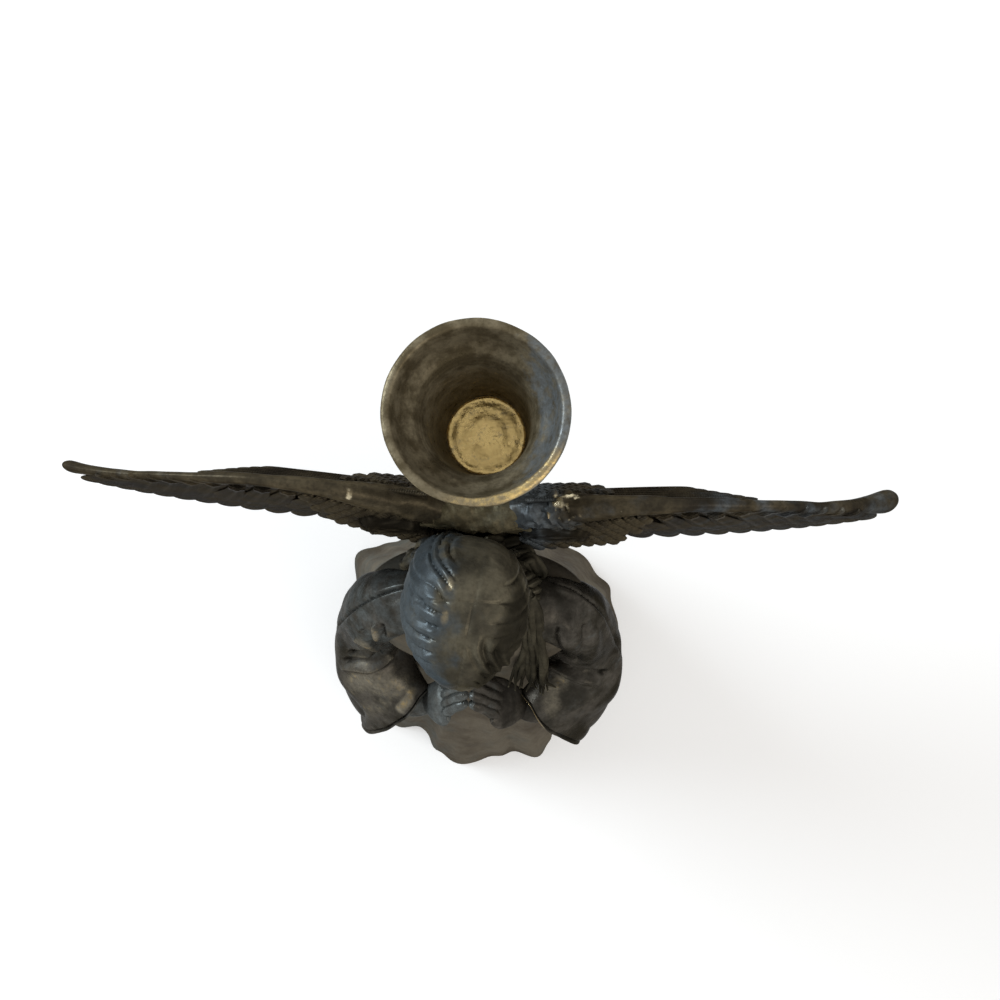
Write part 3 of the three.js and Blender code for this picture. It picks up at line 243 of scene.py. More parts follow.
def patina(name, deep, face, worn, *, rough, pits, patch_size, gold=None, tarnish_and_sheen=(0.1, 0.112, 0.118),
           wear=(0.9, 2.3), grime_and_shade_range=(0.4, 1.5), line_height=0.0, metallic=0.45, tall=1.0, speckle=1.0):
    """Brass under a patina. Noises on the object's place, tall times as high as wide, mix the deep, face and
    blue-grey colours, the blue-grey most where the mesh says so, as a patina and as a painted reflection of
    the bluish window light; worn shows where relief is high or the mesh's brightness value is, gold where
    that value is highest, partly as a painted highlight, and a dark colour where either is low: darker patina
    in the hollows, and painted shade where the brightness value is below 0. Only the gold places show the
    metal itself. speckle is how strong the fine mottling is."""
    metal, tree, shader = new_material(name)
    nodes = tree.nodes
    stretched = nodes.new("ShaderNodeVectorMath")
    stretched.operation = "MULTIPLY"
    stretched.inputs[1].default_value = (1, 1, 1 / tall)
    fill(tree, stretched, {0: nodes.new("ShaderNodeTexCoord").outputs["Object"]})
    place = stretched.outputs["Vector"]

    def noise(size, detail_levels):
        """Noise on the object's place with features about size mm across."""
        node = nodes.new("ShaderNodeTexNoise")
        fill(tree, node, {"Vector": place, "Scale": 1 / (size * mm), "Detail": detail_levels,
                          "Roughness": 0.6})
        return node.outputs["Fac"]

    def kept(key):
        """A value that the mesh keeps at each point."""
        node = nodes.new("ShaderNodeAttribute")
        node.attribute_name = key
        return node.outputs["Fac"]

    def sums(kind, *terms):
        """One arithmetic step in this material."""
        return arithmetic(tree, kind, *terms)

    def spread(value, low, high, start=0.0, end=1.0):
        """value from low to high, carried to start to end and kept between them."""
        node = nodes.new("ShaderNodeMapRange")
        node.interpolation_type = "SMOOTHSTEP"
        fill(tree, node, {"Value": value, "From Min": low, "From Max": high, "To Min": start, "To Max": end})
        return node.outputs["Result"]

    def blend(share, a, b):
        """Colour a, turning to b by share."""
        node = nodes.new("ShaderNodeMix")
        node.data_type = "RGBA"
        fill(tree, node, {"Factor": share, 6: a, 7: b})
        return node.outputs[2]

    def bump(strength, depth, height):
        """A bump of a height that is depth mm at 1."""
        node = nodes.new("ShaderNodeBump")
        fill(tree, node, {"Strength": strength, "Distance": depth * mm, "Height": height})
        return node

    patches = noise(patch_size, 4)
    mottle = noise(2.4, 5)
    grain = noise(0.8, 3)
    off_mottle = sums("MULTIPLY", sums("SUBTRACT", mottle, 0.5), speckle)
    relief, wear_and_painted_light, tarnish_and_sheen_share = kept("relief"), kept("wear_and_painted_light"), kept("tarnish_and_sheen")
    # The brightness value below 0 is painted shade.
    painted_shade = sums("MINIMUM", wear_and_painted_light, 0.0)
    rubbing_light_and_shade = sums("MULTIPLY_ADD", sums("MAXIMUM", wear_and_painted_light, 0.0), 6.0, sums("MULTIPLY", painted_shade, 1.5))
    worn_and_highlit_share = spread(sums("ADD", rubbing_light_and_shade, sums("MULTIPLY_ADD", off_mottle, 2.4, relief)), *wear)
    off_grain = sums("SUBTRACT", grain, 0.5)
    # Gold where the brightness value is high: worn metal, in places a painted highlight.
    worn_and_highlit = sums("MULTIPLY_ADD", off_mottle, 1.5, sums("MULTIPLY_ADD", off_grain, 0.6, wear_and_painted_light))
    gold_share = spread(worn_and_highlit, 0.45, 1.0)
    # Dark where relief is low, darker patina in the hollows, and where the brightness value is below 0,
    # painted shade.
    covered = sums("MULTIPLY_ADD", painted_shade, -1.3, sums("MULTIPLY", relief, -1.0))
    grime_and_shade = spread(sums("MULTIPLY_ADD", off_mottle, -1.4, covered), *grime_and_shade_range)
    base = blend(spread(patches, 0.35, 0.65), deep, face)
    # Blue-grey: tarnish, and painted reflection of the bluish window light.
    cooled = sums("MULTIPLY_ADD", sums("SUBTRACT", noise(patch_size * 0.45, 5), 0.5), 1.6, tarnish_and_sheen_share)
    base = blend(spread(cooled, 0.3, 1.0, 0.0, 0.85), base, tarnish_and_sheen)
    base = blend(spread(mottle, 0.35, 0.75, 0.0, 0.4 * speckle), base, tuple(0.5 * v for v in deep))
    base = blend(worn_and_highlit_share, base, worn)
    base = blend(spread(grain, 0.4, 0.7, 0.0, 0.35 * speckle), base, tuple(0.6 * v for v in deep))
    base = blend(sums("MULTIPLY", grime_and_shade, 0.85), base, tuple(0.35 * v for v in deep))
    base = blend(gold_share, base, gold or worn)
    shown = sums("MAXIMUM", sums("MULTIPLY", worn_and_highlit_share, 0.4), gold_share)
    gloss = sums("ADD", spread(patches, 0.3, 0.7, rough - 0.07, rough + 0.07),
                 spread(mottle, 0.3, 0.7, -0.05, 0.09))
    gloss = sums("MULTIPLY_ADD", worn_and_highlit_share, -0.08, sums("MULTIPLY_ADD", grime_and_shade, 0.25, gloss))
    skin = bump(pits, 0.25, sums("MULTIPLY_ADD", mottle, 1.2, grain))
    if line_height:
        engraved = bump(1.0, line_height, sums("SINE", sums("MULTIPLY", kept("lines"), tau), 0.0))
        fill(tree, skin, {"Normal": engraved.outputs["Normal"]})
    fill(tree, shader, {"Base Color": base, "Roughness": gloss, "Normal": skin.outputs["Normal"],
                        "Metallic": sums("MULTIPLY_ADD", shown, 0.9 - metallic, metallic),
                        "Specular IOR Level": 0.0, "Specular Tint": (0.35, 0.35, 0.35)})
    return metal


def hanging(level):
    """How far the skirt has swung out at a level: 1 at the hem and 0 from just over the waist."""
    return np.clip(1 - level / (waist_level + 6), 0, 1) ** 1.15


def gown_surface(angle, share, fold_share=1.0, grow=0.0):
    """The gown at an angle (0 front, 90 degrees over +X) and a share of its height: a squared oval whose half
    width and depths run smoothly through the levels, a bell for each fold that grows from the waist to the
    hem, narrower bells for pleats that drift round as they fall, and fine waves at the waist and over the
    chest."""
    level = through(gown_levels, share)
    side, ahead = np.sin(angle), np.cos(angle)
    depth = np.where(ahead > 0, through(gown_front, share), through(gown_back, share))
    x = through(gown_half_width, share) * powered(side, 0.9)
    y = -depth * powered(ahead, 0.9)
    length = np.hypot(x, y)
    degrees = np.degrees(angle)
    hang = hanging(level)
    rise = np.zeros_like(x)
    for at, high, width in gown_folds:
        turn = (degrees - at + 180) % 360 - 180
        rise += high * hang * bell(turn, width)
    for at, high, width, top, drift in gown_pleats:
        turn = (degrees - at - drift * level / 100 + 180) % 360 - 180
        fall = np.clip(1 - level / top, 0, 1) ** 0.7 * (1 + 1.3 * bell(level - 68, 42))
        rise += (high * bell(turn, width) - 0.4 * high * bell(turn, 2.4 * width)) * fall
    gather = bell(level - waist_level, 15) * (0.35 * np.cos(31 * angle) + 0.3 * np.cos(19 * angle + 1))
    drape = 0.8 * smooth(level, 150, 160) * (1 - smooth(level, 184, 196))
    drape = drape * np.sin((level - 150) / 4.2 + 4.5 * np.abs(np.sin(angle / 2)) + 0.6 * np.cos(3 * angle))
    rise = (rise + gather + drape) * fold_share + grow
    x, y = x * (1 + rise / length), y * (1 + rise / length)
    x = x - gown_aside * hang
    y = y + through(gown_middle, share)
    return np.stack([x, y, level], -1)


gown_columns, gown_rows = int(280 * detail), int(150 * detail)
angles = circle(gown_columns)
outside = gown_surface(angles, np.linspace(1, 0, gown_rows)[:, None] + 0 * angles)
outside = swell(outside, 0.12 * unevenness(outside, 9, 1))
pad = (np.abs(outside[..., 0]) < pad_half_width) & (np.abs(outside[..., 2] - pad_level) < pad_half_height)
outside[..., 1] = np.where(pad & (outside[..., 1] > 10), pad_back, outside[..., 1])
outside[-1, :, 2] = 0
inner_share = np.linspace(0, hollow_share, hollow_rows)[:, None] + 0 * angles
inner_wall = cast_wall + hem_thicker * hanging(through(gown_levels, inner_share))
inside = gown_surface(angles, inner_share, 0.0, -inner_wall)
inside[0, :, 2] = 0
inside[..., 2] = np.minimum(inside[..., 2], hollow_top)
rim = inside[:1] + (outside[-1:] - inside[:1]) * np.linspace(0.98, 0.04, 5)[:, None, None]
socket_radius = np.array([neck_bore, neck_recess, neck_recess, neck_recess + 0.4])[:, None]
socket_level = np.array([200, 200, 206.6, collar_level])[:, None]
socket = np.stack([socket_radius * np.sin(angles), collar_back - socket_radius * np.cos(angles),
                   socket_level + 0 * angles], -1)
gown_metal = patina("grey_brown_patina", (0.105, 0.088, 0.066), (0.18, 0.158, 0.122), (0.25, 0.21, 0.15),
                    tarnish_and_sheen=(0.12, 0.128, 0.116), rough=0.46, wear=(1.3, 3.4), pits=0.03, patch_size=20,
                    tall=2.5, metallic=0.35, speckle=0.25)
gown_grid = np.concatenate([socket, outside, rim, inside])
# Painted shade on the front of the chest, under the hair.
painted_shade_under_hair = -0.45 * smooth(gown_grid[..., 2], 135, 175) * smooth(-gown_grid[..., 1], -8, 4)
# Bluer towards the window side: blue-grey tarnish, and painted reflection of the bluish window light.
casting("gown", [(gown_grid, 0, painted_shade_under_hair)], gown_metal, ["gown_body"], passes=6, unit=0.5,
        tarnish_and_sheen=lambda at: 0.3 + 0.3 * smooth(-at[:, 0], 0, 30))

# Head.
# Cast in one with its neck and hair, and seated in the collar. The hair is chased: combed sideways from a
# parting into round locks with sharp grooves between them, and worn bright on the locks at the crown, partly
# as a painted highlight on the window side. Painted shade darkens the far side of the crown and the hair
# below the head.

head_level, cross_line = 234.0, 1.2
bow, head_turn = np.radians(20), np.radians(-9)
half_height, face_half_width, face_front = 21.0, 13.0, 16.0
hair_half_width, hair_front, hair_back = 16.8, 16.8, 17.2
head_height = [-1, -0.84, -0.5, -0.1, 0.3, 0.62, 0.85, 1, 1.07]
head_face = [0.3, 0.58, 0.86, 0.98, 1, 0.94, 0.7, 0.4, 0.1]
head_chin = [0.76, 0.96, 1, 1, 0.98, 0.92, 0.76, 0.5, 0.12]
head_hair = [0.82, 0.86, 0.94, 1, 0.99, 0.9, 0.73, 0.48, 0.14]
head_ahead = [0.6, 0.68, 0.76, 0.84, 0.93, 0.96, 0.84, 0.6, 0.18]
head_behind = [0.58, 0.68, 0.86, 0.98, 1, 0.93, 0.78, 0.54, 0.16]
fall_level, fall_middle = [193, 200, 206, 210], [5, 4, 3, 2]
fall_half_width, fall_front, fall_back = [13, 18, 17, 14], [4, 6.5, 6.5, 6.5], [10, 14.5, 14, 12.5]
fall_tilt = [0, 0, 0.08, 0.17]
parting_half, lock_count = 19.0, 19
hair_rows, strand_count, side_count, nape_count = 30, 18, 5, 28


# Nostrils, eye sockets, eyeballs, lower lip, groove above the lip, hollow below the lips, chin and cheeks:
# how high, how many degrees from the middle and how wide, and at which level and how tall.
face_bells = [(0.7, 7, 4, -6, 1.3), (-1.5, 23, 11, 3, 2.8), (1.1, 23, 8.5, 2.4, 1.5),
              (1.2, 0, 12, -12.5, 1.1), (-0.35, 0, 2.2, -8.3, 0.9), (-0.5, 0, 14, -14.7, 0.9),
              (1.1, 0, 13, -17.6, 2.3), (0.9, 38, 14, -3.5, 5)]


def face_features(turn, height):
    """How far the nose, eyes, brows, lips, chin and cheeks stand out of the oval of the face, a bell for
    each."""
    side = np.abs(turn)
    ridge = smooth(-height, -6, 4.5) * smooth(height, -7.6, -5.6)
    lid = np.sqrt(np.clip(1 - ((side - 23) / 10.5) ** 2, 0, 1))
    out = sum(high * bell(side - at, wide) * bell(height - level, tall)
              for high, at, wide, level, tall in face_bells)
    return (out + 3.3 * bell(turn, 7.5) * ridge
            - 0.35 * lid * bell(height - 1.35 - 0.5 * bell(side - 23, 9), 0.28)
            - 0.2 * lid * bell(height - 4.2, 0.3)
            + 0.85 * bell(side - 21, 14) * bell(height - 6.4 + 0.06 * np.abs(side - 21), 1.5)
            + 1.2 * bell(turn, 12) * bell(height + 10.1 - 0.3 * bell(turn, 3), 1.0)
            - 0.55 * bell(turn, 12) * bell(height + 11.2 + 0.25 * bell(turn, 5), 0.3))


def gathered(step):
    """Even steps round the head drawn together towards the front, where the face needs more points."""
    return step - 0.45 * np.sin(step)


def head_surface(step, share):
    """The head and hair round an axis bowed forward: the oval of the face, blended into the wider oval of the
    hair past the hairline. Returns the grid and, in the head's own frame, the place across, behind and up,
    and the share of hair."""
    angle = gathered(step)
    turn = np.degrees(np.where(angle > np.pi, angle - tau, angle))
    height = through(head_height, share) * half_height
    side, ahead = np.sin(angle), np.cos(angle)
    window = 52 * (1 - smooth(height, 5, 14.5)) - 8 * smooth(-height, 14, 22)
    covered = smooth(np.abs(turn), window - 4, window + 4)
    covered = np.where(height > 13, 1.0, covered)
    face_x = face_half_width * through(head_face, share) * side
    face_y = -ahead * face_front * through(head_chin, share)
    face_y = face_y - face_features(turn, height) * np.clip(ahead, 0, 1)
    square = 1 - 0.4 * smooth(-ahead, -0.2, 0.5) * smooth(-side, -0.3, 0.5)
    hair_x = hair_half_width * through(head_hair, share) * powered(side, square)
    hair_x = hair_x * (1 - 0.24 * np.clip(ahead, 0, 1) ** 1.6) * (1 - 0.17 * smooth(side, -0.2, 0.6))
    hair_depth = np.where(ahead > 0, hair_front * through(head_ahead, share),
                          hair_back * through(head_behind, share))
    hair_y = -powered(ahead, square) * hair_depth
    x = face_x + (hair_x - face_x) * covered
    y = face_y + (hair_y - face_y) * covered
    turned_x = x * np.cos(head_turn) - y * np.sin(head_turn)
    turned_y = x * np.sin(head_turn) + y * np.cos(head_turn)
    grid = np.stack([turned_x, turned_y * np.cos(bow) - height * np.sin(bow),
                     head_level + turned_y * np.sin(bow) + height * np.cos(bow)], -1)
    return grid, x, y, height, covered


def near_line(places, path):
    """How far places seen from above lie from a smooth line, in mm: the least distance to 36 marks along
    it."""
    apart = np.full(places.shape[:2], 1e3)
    for mark in through(path, np.linspace(0, 1, 36)):
        apart = np.minimum(apart, np.hypot(*np.moveaxis(places - mark, -1, 0)))
    return apart


def locks(x, y, height):
    """Strands run as hyperbolas from the parting, a line from front to back on the crown: the angle whose
    cosine is the difference of the distances to its two ends, over its length. They wave as they drop away
    from it."""
    front, back = np.hypot(x, y + parting_half), np.hypot(x, y - parting_half)
    strand = np.arccos(np.clip((front - back) / (2 * parting_half), -1, 1))
    drop = np.hypot(x, np.clip(half_height - height, 0, 60))
    wave = 0.5 * np.sin(drop / 4.0 + 2.0 * strand + np.where(x > 0, 1.4, 0)) * smooth(drop, 7, 15)
    swirl = np.where(x > 0, 2.4, 0.0) * bell(y + 10, 5) * np.cos(drop / 2.6 + 0.6) * smooth(drop, 4, 9)
    tangle = 1.6 * np.sin(x / 2.6 + 0.8 * np.sin(y / 2.2)) * smooth(y, 4, 12)
    return lock_count * strand + wave + swirl + tangle, drop


head_columns, head_rows, fall_rows = int(300 * detail), int(200 * detail), int(45 * detail)
steps = circle(head_columns)
skull, across, behind, up, covered = head_surface(steps, np.linspace(0, 1, head_rows)[:, None] + 0 * steps)
phase, drop = locks(across, behind, up)
away = smooth(np.abs(across + 0.8 - 0.1 * behind), 4.4, 7.5) * smooth(half_height - up + np.abs(across), 2, 8)
away = away * np.where(across > 0, 1 - 0.6 * bell(behind - 2, 8) * smooth(up, 8, 14), 1)
away = away * (1 - 0.55 * smooth(np.abs(across), 11, 16))
arch = np.abs(np.sin(phase)) ** 0.7
bulb = 0.35 * bell(np.abs(across + 0.8) - 7.0, 1.8) * smooth(up, 12, 17) * arch
strands = 0.1 * np.sin(phase * 3 + 1.5 * np.sin(drop / 3))
parting = -0.25 * bell(across, 0.5) * smooth(up, 8, 14)
parting = parting - 0.3 * bell(skull[..., 1] - cross_line, 0.35) * smooth(up, 14, 18)
hollow = -0.5 * bell(across, 3.2) * smooth(up, 13, 18) * smooth(-behind, 2, 9)
curls = 0 * up
for path in ([(5.2, -3.6), (3.0, -6.6), (2.7, -10.0), (4.6, -13.6)],
             [(8.0, -5.2), (5.9, -7.8), (5.6, -10.6), (7.4, -13.4)],
             [(10.4, -6.6), (8.7, -8.8), (8.4, -11.0), (9.6, -12.8)]):
    apart = near_line(skull[..., :2], path)
    curls = curls + 0.75 * bell(apart, 0.8) - 0.4 * bell(apart - 1.5, 0.6)
curls = curls * smooth(up, 3, 9) * smooth(-behind, -3, 2)
skull = swell(skull, covered * (away * (0.8 * arch - 0.5 + strands) + bulb + parting + hollow + curls)
              + 0.05 * unevenness(skull, 3, 2))
fall_share = np.linspace(0, 0.96, fall_rows)[:, None] + 0 * steps
fall_angle = gathered(steps)
fall_ahead = np.cos(fall_angle)
depth = np.where(fall_ahead > 0, through(fall_front, fall_share), through(fall_back, fall_share))
fall_y = -fall_ahead * depth
fall = np.stack([through(fall_half_width, fall_share) * np.sin(fall_angle),
                 through(fall_middle, fall_share) + fall_y,
                 through(fall_level, fall_share) + through(fall_tilt, fall_share) * fall_y], -1)
fall_arch = np.abs(np.sin(lock_count * fall_angle + 0.5 * np.sin(fall[..., 2] / 2.4))) ** 0.6
fall = swell(fall, 0.9 * fall_arch - 0.5)
hair_lines = np.concatenate([lock_count * fall_angle * 1.6 + 0 * fall_share, phase * 1.9])
x, y = skull[..., 0], skull[..., 1]
# Bright places on the crown, most on the window side, worn bright and partly a painted highlight; painted
# shade over the far side.
gold = 0.5 * bell(x + 4.7 - 0.1 * y, 1.5) * np.maximum(bell(y - 5, 2.8), bell(y + 2.6, 2.8))
gold = gold + 0.25 * bell(x + 0.4, 1.4) * bell(y + 2.0, 1.8)
gold = (gold - 1.1 * smooth(x - 0.35 * y, 5, 11)) * smooth(up, 2, 10)
# The hair that falls onto the neck is darkened a little: painted shade under the head.
head_sheets = [(np.concatenate([fall, skull]), hair_lines, np.concatenate([0 * fall_share - 0.4, gold]))]


def bar(path, thin, broad, columns, rows, towards=(0.05, 0.1, 1.0)):
    """A bar along a smooth path of points: an oval at each, broad in the direction towards and thin across
    it."""
    share = np.linspace(0, 1, int(rows * detail))
    middle = through(path, share)
    ahead = unit_length(np.gradient(middle, axis=0))
    wide = unit_length(np.cross(ahead, towards))
    high = np.cross(wide, ahead)
    turn = circle(int(columns * detail))[..., None]
    return (middle[:, None] + wide[:, None] * np.cos(turn) * through(thin, share)[:, None, None]
            + high[:, None] * np.sin(turn) * through(broad, share)[:, None, None])


def curl_of_hair(path, radius, columns):
    """A lock: a round bar with three ridges that wind once round it from end to end."""
    lock = bar(path, radius, radius, columns, rows=hair_rows)
    rows, columns = lock.shape[:2]
    wound = np.linspace(0, np.pi, rows)[:, None] + 1.5 * circle(columns)
    return swell(lock, 0.6 * np.abs(np.sin(wound)) - 0.35)


strand_wiggle = np.random.default_rng(5).normal(size=(strand_count, 6, 3)) * 0.4
strand_radius = [1.0, 1.1, 1.0, 0.9, 0.7, 0.2]
for number in range(strand_count):
    lean, layer = number / (strand_count - 1), number % 2
    path = np.array([(12.5 + 2 * lean, 6 - 2 * lean, 214), (13.8 + 2.5 * lean, 1.5 - 2 * lean, 209),
                     (14 + 4.5 * lean, -5 - 2 * lean, 202), (13.2 + 7 * lean, -11.5 - 1.5 * lean, 194),
                     (12.4 + 9 * lean, -17 - lean, 184), (11.6 + 11 * lean, -22, 174)])
    path = path + strand_wiggle[number] * np.array([1, 1, 1.2, 1.4, 1.7, 2.4])[:, None] - (0, 0, 0.9 * layer)
    # Painted shade darkens the strands that hang over the shoulder in front.
    head_sheets.append((bar(path, strand_radius, strand_radius, columns=10, rows=hair_rows), 0, -1.3))
for number in range(side_count):
    lean = number / (side_count - 1)
    path = [(-11.5 - 1.5 * lean, 9 - 7 * lean, 213), (-14.5 - 1.5 * lean, 7 - 7 * lean, 207),
            (-16.5 - 1.5 * lean, 4 - 6 * lean, 200 - lean), (-15.5 - 2 * lean, 1.5 - 6 * lean, 195)]
    # Painted shade darkens the curls at the side a little.
    head_sheets.append((curl_of_hair(path, [1.2, 1.6, 1.5, 0.4], columns=22), 0, -0.4))
nape_wiggle = np.random.default_rng(8).normal(size=(nape_count, 4, 3)) * 0.9
for number in range(nape_count):
    side, lean = (-1, 1)[number % 2], (number // 2) / (nape_count / 2 - 1)
    path = np.array([(side * (2 + 9 * lean), 15.5 - 2.5 * lean, 226 - 3 * lean),
                     (side * (5 + 9.5 * lean), 17.0 - 3.5 * lean, 220 - 6 * lean),
                     (side * (7.5 + 10 * lean), 16.8 - 5 * lean, 211 - 6 * lean),
                     (side * (9 + 9 * lean), 15.5 - 6.5 * lean, 200 - 3 * lean)]) + nape_wiggle[number]
    shade = -0.15 if side < 0 else -1.1
    head_sheets.append((curl_of_hair(path, [1.0, 1.6, 1.5, 0.7], columns=20), 0, shade))
hair_metal = patina("dark_polished_patina", (0.062, 0.056, 0.042), (0.165, 0.146, 0.102), (0.27, 0.23, 0.155),
                    gold=(0.62, 0.5, 0.3), tarnish_and_sheen=(0.085, 0.107, 0.124), rough=0.32, wear=(1.6, 3.4), pits=0.05,
                    patch_size=12, speckle=0.7)


def hair_tarnish_and_sheen(at):
    """The blue-grey of the hair, a patina and a painted reflection of the bluish window light: bluer to the
    right of an uneven line from front to back, and towards the crown."""
    return 0.15 + 0.9 * smooth(-at[:, 0] + 2.0 * unevenness(at, 6, 3), 0, 11) * smooth(at[:, 2], 192, 238)


casting("hair_and_face", head_sheets, hair_metal, ["head"], passes=3, tarnish_and_sheen=hair_tarnish_and_sheen)

# Sleeves.
# Each arm is one casting in a bell sleeve, screwed on at the shoulder from inside the gown. The cloth is
# pulled into creases in the crook of the arm, and the cuff hangs open below the wrist with its upper face
# rubbed bright.

sides = ((1, "left"), (-1, "right"))
eye_level, shoulder_out, forearm_depth = 550.0, 27.0, 8.5
shoulder = np.array([shoulder_out, 0, shoulder_level])
crook_line = [(-15, -5, 13), (-5, -9, 6), (1, -11.5, -7), (2, -14.5, -19), (0, -16.5, -28),
              (-2.5, -18.5, -31), (-6, -21.5, -32), (-9, -25, -33), (-11, -27.5, -33.5)]
elbow_line = [(-15, 9, 12), (-6, 9.5, 7), (1, 9, -6), (5.5, 6.5, -20), (11, 0.5, -35), (15, -9, -50),
              (15.5, -21, -62), (12.5, -30, -68.5), (6.5, -36.2, -70.5)]
cuff_aside = {"left": -3.9, "right": -4.2}
corner_aside = {"left": -0.8, "right": 2.0}
sleeve_half = [5, 7, 8, 8.8, 9.6, 10, 10.2, 9.2, 8]
eye = np.array([10.5, 0.0, eye_level])


def sleeve_surface(share, angle, wall=0.0):
    """Ovals that span from the crook side of the arm (angle 180 degrees) to its elbow side (0), with the
    outer side of the arm at 90, strung on two smooth lines from the neck over the shoulder to the cuff."""
    near, far = shoulder + through(crook_line, share), shoulder + through(elbow_line, share)
    later, sooner = np.minimum(share + 1e-3, 1), np.maximum(share - 1e-3, 0)
    ahead = sum(unit_length(through(line, later) - through(line, sooner))
                for line in (crook_line, elbow_line))
    reach = np.linalg.norm(far - near, axis=-1, keepdims=True) / 2
    wide = (far - near) / (2 * reach)
    out = unit_length(np.cross(ahead, wide))
    half = through(sleeve_half, share)[..., None] - wall
    overhang = ahead / 2 * (3.0 * smooth(share, 0.7, 1) * np.clip(np.sin(angle), 0, 1))[..., None]
    square = 0.92 - 0.27 * smooth(share, 0.75, 1)
    rise = powered(np.sin(angle), square)[..., None]
    across = powered(np.cos(angle), np.where(np.cos(angle) > 0, square, 1))[..., None]
    return (near + far) / 2 + wide * (reach - wall) * across + out * half * rise + overhang


def off_line(points, path):
    """How far points lie from a smooth line, in mm, both seen from an eye 550 mm above the base: places are
    carried along the eye's rays to the level of the shoulders."""
    flat = eye[:2] + (points[..., :2] - eye[:2]) * (eye[2] - shoulder_level) / (eye[2] - points[..., 2:])
    return near_line(flat, path)


sleeve_creases = {
    "left": [([(20.9, 8.8), (27.1, 6.3), (34.2, 1.2), (38.0, -4.7), (40.8, -10.8)], -0.8, 0.45),
             ([(22.0, 7.0), (27.5, 4.6), (33.5, -0.2), (37.0, -5.7), (39.4, -11.0)], 0.35, 1.0),
             ([(16.3, -0.3), (18.8, -6.5), (21.0, -11.8)], 0.7, 0.8),
             ([(21.6, -13.2), (24.5, -14.6), (28.6, -16.1), (32.2, -16.5), (36.6, -16.2)], -1.5, 0.9),
             ([(22.0, -15.3), (28.1, -18.0), (34.2, -18.5)], 0.6, 1.0),
             ([(23.0, -4.3), (22.8, -9.0), (23.9, -12.6)], -0.9, 0.8),
             ([(30.2, -3.8), (30.2, -8.6), (28.4, -12.8)], -0.8, 0.9),
             ([(25.2, -4.0), (26.6, -6), (26.6, -9)], 1.0, 3.0),
             ([(33.0, -5.0), (33.6, -9.0), (32.0, -13.4)], 0.5, 1.4)],
    "right": [([(-19.4, 5.1), (-25.4, 3.2), (-30.7, 0.2), (-34.7, -3.1), (-37.8, -6.5)], -0.9, 0.45),
              ([(-20.2, 3.9), (-25.7, 1.9), (-30.5, -1.1), (-34.0, -4.2), (-36.6, -7.2)], 0.45, 1.0),
              ([(-35.0, -16.2), (-29.3, -16.5), (-26.2, -14.9), (-24.4, -13.2)], -1.4, 0.8),
              ([(-35.0, -18.0), (-29.1, -18.5), (-25.4, -16.9), (-22.8, -14.4)], 0.7, 0.9),
              ([(-26.0, -6.6), (-24.9, -9.8), (-24.0, -12.8)], -1.3, 0.8),
              ([(-27.7, -6.6), (-27.0, -9.4), (-25.4, -12.3)], 0.9, 0.7),
              ([(-30.9, -8.2), (-28.6, -10.4), (-25.7, -12.9)], -1.3, 0.7),
              ([(-32.5, -10.2), (-29.6, -11.8), (-26.2, -13.2)], 0.8, 0.8),
              ([(-34.0, -14.2), (-29.5, -14.2), (-25.6, -14.2)], -1.2, 0.7)],
}
sleeve_columns, sleeve_rows = int(160 * detail), int(200 * detail)
turn = circle(sleeve_columns) + np.zeros((sleeve_rows, 1))
share = np.linspace(0, 1, sleeve_rows)[:, None] + 0 * turn
sleeve_metal = patina("brown_patina", (0.05, 0.046, 0.038), (0.11, 0.1, 0.085), (0.24, 0.215, 0.165),
                      gold=(0.45, 0.34, 0.17), tarnish_and_sheen=(0.13, 0.145, 0.145), rough=0.28, wear=(1.1, 3.2),
                      grime_and_shade_range=(0.5, 1.7), pits=0.14, patch_size=9)
